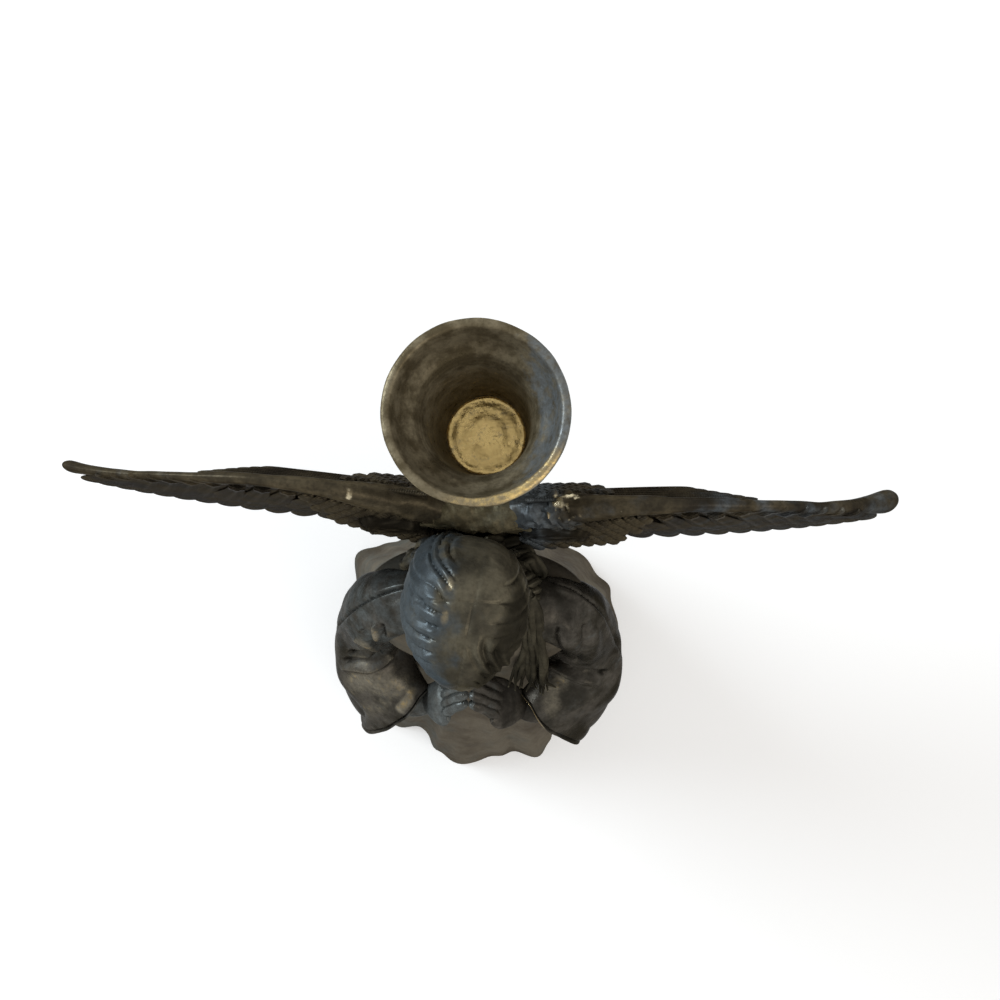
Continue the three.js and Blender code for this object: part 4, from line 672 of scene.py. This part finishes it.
for side, name in sides:
    aside = cuff_aside[name] * bell(share - 0.84, 0.09) * smooth(np.cos(turn), -0.6, 0.7)
    aside = aside + corner_aside[name] * smooth(share, 0.88, 1) * smooth(np.cos(turn), -0.2, 0.8)
    outer = (sleeve_surface(share, turn) + aside[..., None] * (1, 0, 0)) * (side, 1, 1)
    facing = smooth(outward(outer)[..., 2], 0.05, 0.4)
    height = 0.4 * smooth(share, 0.3, 0.7) * np.cos(5 * turn + side) + 0.12 * unevenness(outer, 7, 5)
    valley, ridge = 0 * height, 0 * height
    for path, high, width in sleeve_creases[name]:
        crease = bell(off_line(outer, path), 0.9 * width) * facing
        height = height + 1.5 * high * crease
        valley = np.maximum(valley, crease * (high < 0) * (width < 0.95))
        ridge = np.maximum(ridge, crease * (high > 0))
    cuff_edge = -0.7 * bell(share - 0.975, 0.008) * (turn > 0)
    height = height + cuff_edge + 0.35 * smooth(share, 0.98, 0.995)
    # Right sleeve: the fan of creases is worn bright, most on their ridges, and painted shade darkens their
    # deep valleys; further patches are worn bright.
    if name == "right":
        fan = bell(off_line(outer, [(-25, -11.5), (-28, -11.5), (-31, -13)]), 4.2) * facing
        gold = fan * (0.42 + 0.3 * ridge - 0.75 * valley)
        for path, most, width in (([(-31, -21), (-25, -22), (-20, -22)], 0.4, 6.0),
                                  ([(-31, -30), (-24, -28)], 0.3, 5.0),
                                  ([(-16.4, -23.8), (-17.5, -26), (-19, -28)], 0.62, 1.8)):
            gold = np.maximum(gold, most * bell(off_line(outer, path), width) * facing)
    else:
        # Left sleeve: a patch of the cuff and the lip of its mouth are worn bright, and everything else is
        # darkened a little.
        gold = 0.66 * bell(off_line(outer, [(24.2, -19), (22, -22), (22, -26)]), 4.8) * facing - 0.25
        lip = bell(off_line(outer, [(15.2, -23), (17, -26.5), (19.3, -29)]), 3)
        gold = gold + 1.2 * bell(share - 1, 0.012) * lip
    outer = swell(outer, height)
    lining_share = np.linspace(1, 0.58, 60)[:, None] + 0 * turn[:1]
    lining = sleeve_surface(lining_share, turn[:1], 1.8) * (side, 1, 1)
    mouth = outer[-1:] + (lining[:1] - outer[-1:]) * np.array([0.12, 0.5, 0.88])[:, None, None]
    grid = np.concatenate([outer, mouth, lining])
    shine = np.concatenate([gold, gold[-1:] + 0 * mouth[..., 0], 0 * lining_share])
    # Bluer on the upper part of the right sleeve: blue-grey tarnish, and painted reflection of the bluish
    # window light.
    casting(f"{name}_bell_sleeve", [(grid, 0, shine)], sleeve_metal, [f"{name}_sleeve"],
            passes=5, unit=0.4, tarnish_and_sheen=lambda at: 0.25 + 0.4 * (at[:, 0] < 0) * smooth(at[:, 2], 150, 185))

# Hands.
# A forearm, palm, thumb and four fingers in one casting for each side, pressed in from the cuff. The fingers
# lie against those of the other hand, with their tips up and their knuckles outward.

finger_pitch, finger_radius = 2.8, 1.62
finger_shorter, finger_taper = (1.2, 0, 0.8, 3), (1, 1.02, 0.97, 0.88, 0.5)
back_to_front = (0, 1.0, 0)


def forearm(share):
    """A point 8.5 mm from the crook line towards the elbow line, where the bare arm lies in the sleeve."""
    near, far = (shoulder + through(line, np.array(share)) for line in (crook_line, elbow_line))
    return near + unit_length(far - near) * forearm_depth


hand_metal = patina("dark_satin_patina", (0.07, 0.064, 0.055), (0.14, 0.128, 0.11), (0.24, 0.22, 0.185),
                    tarnish_and_sheen=(0.155, 0.172, 0.17), rough=0.34, wear=(2.2, 4.5), grime_and_shade_range=(0.2, 1.0), pits=0.08,
                    patch_size=10)
cuff = forearm(1.0)
wrist = cuff + (-5.5, 1.0, 1)
knuckles = np.array([8.6, wrist[1] - 0.1, wrist[2] + 7.4])
palm_path = [forearm(0.5), forearm(0.78), cuff, wrist, wrist + (knuckles - wrist) * 0.6, knuckles,
             knuckles + (-1.5, 0.5, 2)]
palm_thin, palm_broad = [3.4, 3.6, 4.0, 3.6, 3.1, 2.4, 1.4], [3.6, 3.8, 4.4, 4.6, 6.6, 7.2, 6]
hand_sheets = [(bar(palm_path, palm_thin, palm_broad, columns=24, rows=45, towards=back_to_front), 0, 0)]
for number, shorter in enumerate(finger_shorter):
    back = (1.5 - number) * finger_pitch
    root = knuckles + (0.2, back, -1)
    tip = np.array([0.75, knuckles[1] + back * 0.94 + 4.6, wrist[2] + 19 - shorter])
    path = [root, root + (tip - root) * 0.33 + (0.7, 0, 0.5), root + (tip - root) * 0.66 + (0.6, 0, 0.4),
            root + (tip - root) * 0.93, tip]
    size = [finger_radius * taper for taper in finger_taper]
    finger = bar(path, size, size, columns=14, rows=30, towards=back_to_front)
    rings = np.linspace(0, 1, finger.shape[0])[:, None]
    joints = 0.16 * (bell(rings - 0.3, 0.07) + bell(rings - 0.62, 0.06)) - 0.1 * bell(rings - 0.46, 0.1)
    hand_sheets.append((swell(finger, joints + 0 * finger[..., 0]), 0, 0))
root = np.array([knuckles[0] + 1.5, knuckles[1] + 2 * finger_pitch - 1, wrist[2] + 3.5])
tip = np.array([1.6, knuckles[1] + 2 * finger_pitch + 1.2, wrist[2] + 13.2])
thumb_path = [root, root + (tip - root) * 0.45 + (0.8, 0.6, 0), root + (tip - root) * 0.9, tip]
thumb_radius = [2.3, 2.2, 1.8, 0.8]
thumb = bar(thumb_path, thumb_radius, thumb_radius, columns=14, rows=25, towards=back_to_front)
hand_sheets.append((thumb, 0, 0))
for side, name in sides:
    sheets = []
    for grid, line, shine in hand_sheets:
        grid = grid.copy()
        shade = -0.8 * (side > 0) * smooth(grid[..., 0], 6, 10)
        grid[..., 0] = np.maximum(grid[..., 0], 0.04) * side - 1.5 * smooth(grid[..., 2], 152, 166)
        sheets.append((grid, line, shine + shade))
    # Bluer on the right hand: blue-grey tarnish, and painted reflection of the bluish window light.
    casting(f"{name}_praying_hand", sheets, hand_metal, [f"{name}_hand"], unit=0.25,
            tarnish_and_sheen=lambda at: 0.3 + 0.6 * smooth(-at[:, 0], -1, 1))

# Wings.
# Each wing is one casting: a smooth tapered arm, sixteen flight feathers fanned from it, rows of coverts on
# both faces, long feathers laid along the back of the arm, and small scales where it swells at the root over
# the bracket's lug.

root_middle, root_outer, sweep = 25.25, 30.0, 0.06
arm_line = [(10.3, 228.5), (23, 236), (38, 242.5), (55, 243.5), (74, 236.5), (91, 225), (106.6, 213)]
arm_half = [4.2, 3.6, 2.4, 1.7, 1.4, 1.6, 2.6]
feather_count, laid_count, feather_shade = 16, 6, -0.8
feather_half_width, covert_half_width, laid_half_width, scale_half_width = 4.6, 4.2, 3.4, 2.1
feather_thick, covert_thick, laid_thick, scale_thick = 3.0, 2.0, 1.3, 1.5
scale_step = 3.1


def even(corners, share):
    """Points at even shares of the length of a cubic Bezier curve."""
    t = np.linspace(0, 1, 401)[:, None]
    a, b, c, d = (np.array(corner, float) for corner in corners)
    curve = a * (1 - t) ** 3 + 3 * b * t * (1 - t) ** 2 + 3 * c * t * t * (1 - t) + d * t ** 3
    length = np.concatenate([[0], np.cumsum(np.linalg.norm(np.diff(curve, axis=0), axis=1))])
    return np.stack([np.interp(share, length / length[-1], curve[:, k]) for k in range(2)], -1)


def vane(root, tip, half_width, thick, *, tilt, offset, rows, columns, blunt, pitch=0.6, splay=0.0,
         bow=0.0, lens=0.55, narrow=0.62):
    """A feather from root to tip, seen from the front: its half width swells to blunt of its length and
    rounds off at the tip, its section is a thin lens with a shaft along the middle, it is tilted about its
    length, and it stands offset behind the wing's middle, and splay further at its tip."""
    root, tip = np.array(root, float), np.array(tip, float)
    length = np.hypot(*(tip - root))
    along = (tip - root) / length
    u = (np.linspace(0, 1, int(rows * detail)) ** 0.85)[:, None]
    turn = circle(int(columns * detail))
    v = np.cos(turn)
    round_off = np.sqrt(np.clip(1 - (np.clip(u - blunt, 0, 1) / (1.002 - blunt)) ** 2.4, 0, 1))
    width = half_width * (narrow + (1 - narrow) * smooth(u, 0, blunt)) * round_off
    face = powered(np.sin(turn), lens)
    high = 0.5 * thick * face * (0.25 + 0.75 * np.sqrt(np.clip(width / half_width, 0, 1)))
    high = high + 0.22 * face * bell(v, 0.11) * (1 - u) ** 0.4
    side = width * v + bow * u * u
    deep = -width * v * np.sin(tilt) - high * np.cos(tilt) + offset + splay * u
    x = root[0] + along[0] * u * length - along[1] * side
    z = root[1] + along[1] * u * length + along[0] * side
    lines = u * length / pitch - np.abs(v) * width / pitch * 0.8
    return np.stack([x, deep, z], -1), lines, feather_shade


number_share = np.arange(feather_count) / (feather_count - 1)
feather_root = even([(17.3, 210), (22.3, 257), (71.28, 249.5), (104, 211)], 0.04 + 0.82 * number_share)
feather_tip = even([(19.3, 138), (41.04, 110.64), (89.64, 129.86), (101, 206)], number_share)
wing_sheets = []
for number in range(feather_count):
    wing_sheets.append(vane(feather_root[number], feather_tip[number], feather_half_width, feather_thick,
                            tilt=0.05, offset=0, rows=45, columns=22, blunt=0.86, lens=0.95, narrow=0.8))
place = np.arange(feather_count)
for reach, offset, last in ((0.6, 1.1, 13), (0.4, 1.9, 9), (0.22, 2.7, 6)):
    for face in (-1, 1):
        for number in np.arange(last) + 0.5:
            root, tip = (np.array([np.interp(number, place, line[:, k]) for k in range(2)])
                         for line in (feather_root, feather_tip))
            flatter = 1 - 0.65 * (face > 0) * smooth(root[0], 42, 64)
            root = root + (tip - root) * 0.04
            wing_sheets.append(vane(root, root + (tip - root) * (reach + 0.03), covert_half_width,
                                    covert_thick * flatter, tilt=0, offset=face * offset * flatter, rows=22,
                                    columns=16, blunt=0.8, pitch=0.5, bow=0.4, lens=0.95, narrow=0.5))
for number in range(laid_count):
    start, end = (12 + 2.5 * number, 236.5 - 1.8 * number), (68 - 3.0 * number, 238.5 - 0.9 * number)
    wing_sheets.append(vane(start, end, laid_half_width, laid_thick, tilt=-0.06, offset=2.2 + 0.6 * number,
                            rows=40, columns=18, blunt=0.84, splay=-0.2, bow=-3.0))
for face, scale_rows, reach in ((-1, 7, 42), (1, 6, 33)):
    for row in range(scale_rows):
        for number in range(int((reach - 11 - row) / scale_step)):
            x = 12 + scale_step * (number + 0.5 * (row % 2))
            level = np.interp(x, [10, 23, 38, 55], [231, 237.5, 243, 244]) - 2.0 - scale_step * row
            lean = 2.6 + 0.62 * row - 0.045 * (x - 12) + (0.8 if face < 0 else 2.0)
            wing_sheets.append(vane((x, level), (x + 1.6, level - 5.6), scale_half_width, scale_thick,
                                    tilt=0.1, offset=face * lean, rows=10, columns=8, blunt=0.5, pitch=0.5,
                                    splay=face * 0.9))
steps = np.linspace(0, 1, int(130 * detail))
centre = through(arm_line, steps)
ahead = unit_length(np.gradient(centre, axis=0))
steps = steps[:, None]
size = through(arm_half, steps) * np.sqrt(np.clip(1 - (np.clip(steps - 0.97, 0, 1) / 0.0305) ** 2, 0, 1))
curl = 3.7 * smooth(steps, 0.75, 1.1)
around = circle(int(36 * detail))
raised = np.cos(around) * size * 1.35 - 0.4
arm = np.stack([centre[:, :1] - ahead[:, 1:] * raised, 0.3 + curl + np.sin(around) * size,
                centre[:, 1:] + ahead[:, :1] * raised], -1)
arm = swell(arm, 0.1 * unevenness(arm, 6, 7))
on_top = smooth(np.cos(around), 0.1, 0.8)
# A painted highlight on the rim at the end of each arm.
tip_highlight = 0.6 * smooth(steps, 0.955, 0.985) * np.abs(np.sin(around)) ** 2


def boulder(low, high, square, rows, columns, rough, seed):
    """A box with rounded corners and a rough skin: a superellipsoid, whose sines and cosines are raised to
    the power square, swollen by two sizes of unevenness."""
    low, high = np.array(low, float), np.array(high, float)
    rise = np.linspace(-np.pi / 2, np.pi / 2, int(rows * detail) + 2)[1:-1, None]
    turn = circle(int(columns * detail))
    level_size = powered(np.cos(rise), square)
    block = np.stack([level_size * powered(np.cos(turn), square), level_size * powered(np.sin(turn), square),
                      powered(np.sin(rise), square) + 0 * turn], -1)
    grid = (low + high) / 2 + block * (high - low) / 2
    return swell(grid, rough * (unevenness(grid, 3.2, seed) + 0.5 * unevenness(grid, 1.4, seed + 1) - 1))


def wing_tarnish_and_sheen(at):
    """The blue-grey of the wings, a patina and a painted reflection of the bluish window light: on the left
    one a blue bell at the root, partly a painted highlight, and more towards the tip, on the right one next
    to none."""
    left = 0.3 + 0.8 * bell(at[:, 0] - 14, 6) + 0.2 * smooth(at[:, 0], 45, 60)
    return np.where(at[:, 0] > 0, left, 0.1 + 0.15 * smooth(-at[:, 0], 60, 80))


wing_metal = patina("wing_patina", (0.04, 0.034, 0.026), (0.12, 0.098, 0.062), (0.24, 0.195, 0.12),
                    gold=(0.85, 0.75, 0.52), tarnish_and_sheen=(0.14, 0.165, 0.185), rough=0.33, wear=(2.4, 4.5),
                    pits=0.15, line_height=0.06, patch_size=15)
for side, name in sides:
    # On the left wing the top of the arm near its root is worn bright in rough specks, partly as painted
    # glints, and its outer part is a little darker; on the right wing a small painted highlight lies on the
    # arm, and its top near the root is worn bright.
    if side > 0:
        worn_and_highlit = 0.6 * bell(steps - 0.16, 0.05) * (0.8 + 0.9 * unevenness(arm, 1.3, 44))
        worn_and_highlit = (worn_and_highlit + 0.15 * bell(steps - 0.33, 0.08)) * on_top - 0.12 * smooth(steps, 0.45, 0.6)
        knobbly = 0.45 * bell(steps - 0.12, 0.08) * (unevenness(arm, 2.2, 41) + unevenness(arm, 1.0, 42))
    else:
        worn_and_highlit = 0.6 * bell(steps - 0.262, 0.009) * smooth(np.cos(around + 0.3), 0.7, 1)
        worn_and_highlit = worn_and_highlit + 0.2 * on_top * smooth(-steps, -0.6, -0.2)
        knobbly = 0.2 * bell(steps - 0.11, 0.08) * unevenness(arm, 2.2, 43)
    fuller = (0.5 if side > 0 else -0.3) * smooth(steps, 0.86, 0.97) * smooth(-steps, -1, -0.985)
    placed = []
    for grid, line, shine in wing_sheets + [(swell(arm, knobbly + fuller), 0, worn_and_highlit + tip_highlight)]:
        grid = grid.copy()
        if side < 0:
            grid[..., 2] += 4 * smooth(grid[..., 0], 75, 108)
            grid[..., 1] *= 1 - 0.17 * bell(grid[..., 0] - 46, 20) - 0.3 * smooth(grid[..., 0], 55, 80)
            grid[..., 1] += 1.0 * bell(grid[..., 0] - 46, 24) - 0.7 * smooth(grid[..., 0], 78, 104)
        grid[..., 1] += root_middle + sweep * (grid[..., 0] - root_outer)
        placed.append((grid * (side, 1, 1), line, shine))
    # Painted shade darkens the root block under the arm.
    block = boulder((10.3, 17.75, 199), (30, 30.4, 231), 0.4, rows=45, columns=60, rough=0.3, seed=8)
    placed.append((block * (side, 1, 1), 0, -1))
    casting(f"{name}_feathered_wing", placed, wing_metal, [f"{name}_wing"], passes=1,
            tarnish_and_sheen=wing_tarnish_and_sheen)

# Bracket.
# A sand-cast plate screwed flat on the angel's back, with a rough saddle between the wings and a shelf for
# the cup. It was left as it came from the mould, so its corners are soft and its skin is pitted.

cup_low, cup_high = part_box("candle_cup")
shelf_top = cup_low.z / mm - 0.3
cup_floor, cup_depth = cup_low.z / mm + 3.7, (cup_high.z - cup_low.z) / mm - 3.7
bracket_metal = patina("rough_cast_patina", (0.095, 0.08, 0.046), (0.21, 0.18, 0.112), (0.36, 0.3, 0.18),
                       tarnish_and_sheen=(0.13, 0.135, 0.11), rough=0.5, wear=(1.3, 3.0), pits=0.6, patch_size=9)
bracket_boxes = [((-11.5, 19.2, 160), (11.5, 23.7, 206), 0.22), ((-24, 19.2, 204), (24, 23.7, 230), 0.22),
                 ((-5, 21.7, shelf_top - 6.5), (5, 43.9, shelf_top), 0.3),
                 ((-9.5, 34.4, shelf_top - 4.5), (9.5, 53.4, shelf_top), 0.5)]
bracket_sheets = []
for number, (low, high, square) in enumerate(bracket_boxes):
    block = boulder(low, high, square, rows=45, columns=90, rough=0.2, seed=20 + number)
    bracket_sheets.append((block, 0, 0))
saddle_steps = np.linspace(-1, 1, int(45 * detail))[:, None]
around = circle(int(45 * detail))
swollen = 1 - saddle_steps ** 2
saddle = np.stack([10.4 * saddle_steps + 0 * around,
                   24.07 - 0.5 * swollen + (4.25 + 0.5 * swollen) * np.sin(around),
                   228.5 - 1.0 * swollen + (5.3 - 0.5 * swollen) * np.cos(around)], -1)
lumps = unevenness(saddle, 3.0, 31) + 0.6 * unevenness(saddle, 1.3, 32)
saddle = swell(saddle, (0.1 + 0.25 * swollen) * lumps)
bracket_sheets.append((saddle, 0, 0))
casting("cast_bracket", bracket_sheets, bracket_metal, ["wing_bracket"], unit=0.35)

# Candle cup.
# Turned from a brass casting: a tapered socket below a flared mouth with a rolled lip. The turning marks are
# still there, the outside has darkened, and candles have kept the floor of the socket bright.

cup_axis = 43.9
outer_low = [(2.5, -3.7), (7, -3.7), (11.3, -3.7), (11.9, -3.2), (12.5, -2.4), (12.2, -1.4), (11.8, -0.8),
             (11.5, 2.4), (11.7, 8)]
outer_high = [(12.2, -24), (13.0, -19), (14.2, -15.5), (15.4, -12.5), (16.1, -10.5), (17.1, -8.6), (18.5, -7),
              (19.4, -5.4), (20.4, -3.4), (21.2, -2), (21.5, -1.3)]
inner_high = [(21.2, -0.5), (20.3, -0.2), (19.5, -0.5), (19.0, -1.5), (18.4, -3.7), (17.6, -6), (16.3, -8),
              (14.9, -9.6), (14.1, -11), (13.6, -12), (13.2, -13.1), (12.3, -18)]
inner_low = [(11.2, 8), (10.2, 1.6), (9.85, 0.5), (9.3, 0), (6, 0), (2.5, 0)]
outline = outer_low + [(out, cup_depth + down) for out, down in outer_high + inner_high] + inner_low
cup_steps = np.linspace(0, 1, int(320 * detail))
profile = through(outline, cup_steps)
radius, rise = profile[:, :1], profile[:, 1:]
within = (cup_steps > 0.55)[:, None]
on_floor = smooth(-rise, -1.2, -0.2) * within
spin = circle(int(160 * detail))
marks = (0.02 * np.sin(rise * 7) + 0.04 * np.sin(rise * 2.3 + 1)) * smooth(cup_depth - 8 - rise, 0, 4)
rings = 0.05 * np.sin(radius * 1.9) + 0.3 * bell(radius, 1.0)
radius = radius + marks * (1 - on_floor)
share = np.clip(rise / cup_depth, 0, 1)
cup = np.stack([radius * np.sin(spin) + 1.4 - 1.7 * share,
                cup_axis - radius * np.cos(spin) - 0.5 + 0.45 * share,
                cup_floor + rise + rings * on_floor + 0 * spin], -1)
grains = unevenness(cup, 1.7, 12) + 0.7 * unevenness(cup, 0.8, 13)
cup = swell(cup, 0.08 * unevenness(cup, 6, 11) + 0.035 * on_floor * grains)
socket_share = smooth(cup_depth - 11 - rise, 0, 4) * within * (1 - on_floor)
# The rolled lip is worn a little bright all round, and a painted highlight brightens the side towards the
# warm room lamp.
lip = bell(rise - cup_depth + 0.3, 0.7) * (0.12 + 0.55 * smooth(np.cos(spin - 0.45), 0.5, 1))
shine = np.maximum(0.97 * on_floor + 0 * spin, np.maximum(lip, 0.3 * socket_share))
mouth_level = cup_floor + cup_depth
cup_metal = patina("turned_brass", (0.13, 0.105, 0.062), (0.3, 0.255, 0.17), (0.38, 0.31, 0.19),
                   gold=(0.92, 0.68, 0.28), tarnish_and_sheen=(0.22, 0.25, 0.27), rough=0.36, wear=(1.4, 3.0), pits=0.35,
                   patch_size=5, speckle=0.9)
# Blue-grey on the inner wall of the mouth facing the window: a painted reflection of the bluish window light.
casting("turned_cup", [(cup, rise * 1.7 + 0 * spin, shine)], cup_metal, ["candle_cup"],
        tarnish_and_sheen=lambda at: 0.8 * smooth(at[:, 0], 6, 14) * smooth(at[:, 2], mouth_level - 14, mouth_level - 9))

# Fasteners.
# Small turned brass screws, studs, washers and nuts, darkened with the rest. They keep the shape of the
# frame.

fastener_metal = patina("fastener_brass", (0.12, 0.09, 0.045), (0.3, 0.22, 0.1), (0.5, 0.38, 0.18),
                        rough=0.36, pits=0.15, patch_size=6)
for name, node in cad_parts.items():
    if any(word in name for word in ("screw", "stud", "nut", "washer")):
        node.data.materials.clear()
        node.data.materials.append(fastener_metal)

# Stage.
# A pale floor that shows white, a cool window light on one side and a warm room light on the other, and the
# camera straight above. The point below it lies off the middle of the picture, by the pixels given here.

floor_mesh = bpy.data.meshes.new("floor")
half_floor, floor_glow_strength, aim_level = 4.0, 0.38, 0.15
corners = [(x * half_floor, y * half_floor, 0) for x, y in ((-1, -1), (1, -1), (1, 1), (-1, 1))]
floor_mesh.from_pydata(corners, [], [(0, 1, 2, 3)])
floor_paint, floor_tree, floor_shader = new_material("floor_paint")
path_kind = floor_tree.nodes.new("ShaderNodeLightPath").outputs
seen_rays = arithmetic(floor_tree, "ADD", path_kind["Is Camera Ray"], path_kind["Is Glossy Ray"])
floor_glow = arithmetic(floor_tree, "MULTIPLY", seen_rays, floor_glow_strength)
fill(floor_tree, floor_shader, {"Base Color": (0.8, 0.8, 0.8), "Roughness": 0.9, "Specular IOR Level": 0.0,
                                "Emission Color": (1, 1, 1), "Emission Strength": floor_glow})
floor_mesh.materials.append(floor_paint)
floor = add_object("floor", floor_mesh)
floor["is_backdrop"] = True


def lamp(name, place, size, power, colour):
    """A square area lamp at place, turned to the middle of the figure."""
    data = bpy.data.lights.new(name, "AREA")
    data.shape, data.size, data.energy, data.color = "SQUARE", size, power, colour
    sight = Vector((0, 0, aim_level)) - Vector(place)
    turned = sight.to_track_quat("-Z", "Y").to_matrix().to_4x4()
    add_object(name, data).matrix_world = Matrix.Translation(place) @ turned


lamp("window", (-1.3, 0.5, 1.1), 0.8, 17, (0.84, 0.93, 1.0))
lamp("room", (1.5, -0.9, 1.7), 1.4, 9, (1.0, 0.92, 0.82))
world = bpy.data.worlds.new("studio")
world.use_nodes = True
fill(world.node_tree, world.node_tree.nodes["Background"], {"Color": (1.0, 0.985, 0.96), "Strength": 0.52})
bpy.context.scene.world = world
bpy.context.scene.view_settings.view_transform = "Standard"

camera_data = bpy.data.cameras.new("camera")
camera_data.sensor_width, camera_data.lens = 36, 46.8
camera_data.clip_start, camera_data.clip_end = 0.01, 20
picture_pixels, roll = 1000, np.radians(2.8)
below_middle_pixels, beside_middle_pixels = 110, 14
focal_pixels = camera_data.lens / camera_data.sensor_width * picture_pixels
camera = add_object("camera", camera_data)
turned = (Matrix.Rotation(roll, 4, "Z")
          @ Matrix.Rotation(np.arctan(below_middle_pixels / focal_pixels), 4, "X")
          @ Matrix.Rotation(np.arctan(beside_middle_pixels / focal_pixels), 4, "Y"))
camera.matrix_world = Matrix.Translation(Vector((eye + (0, set_back, 0)) * mm)) @ turned
bpy.context.scene.camera = camera

low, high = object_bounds()
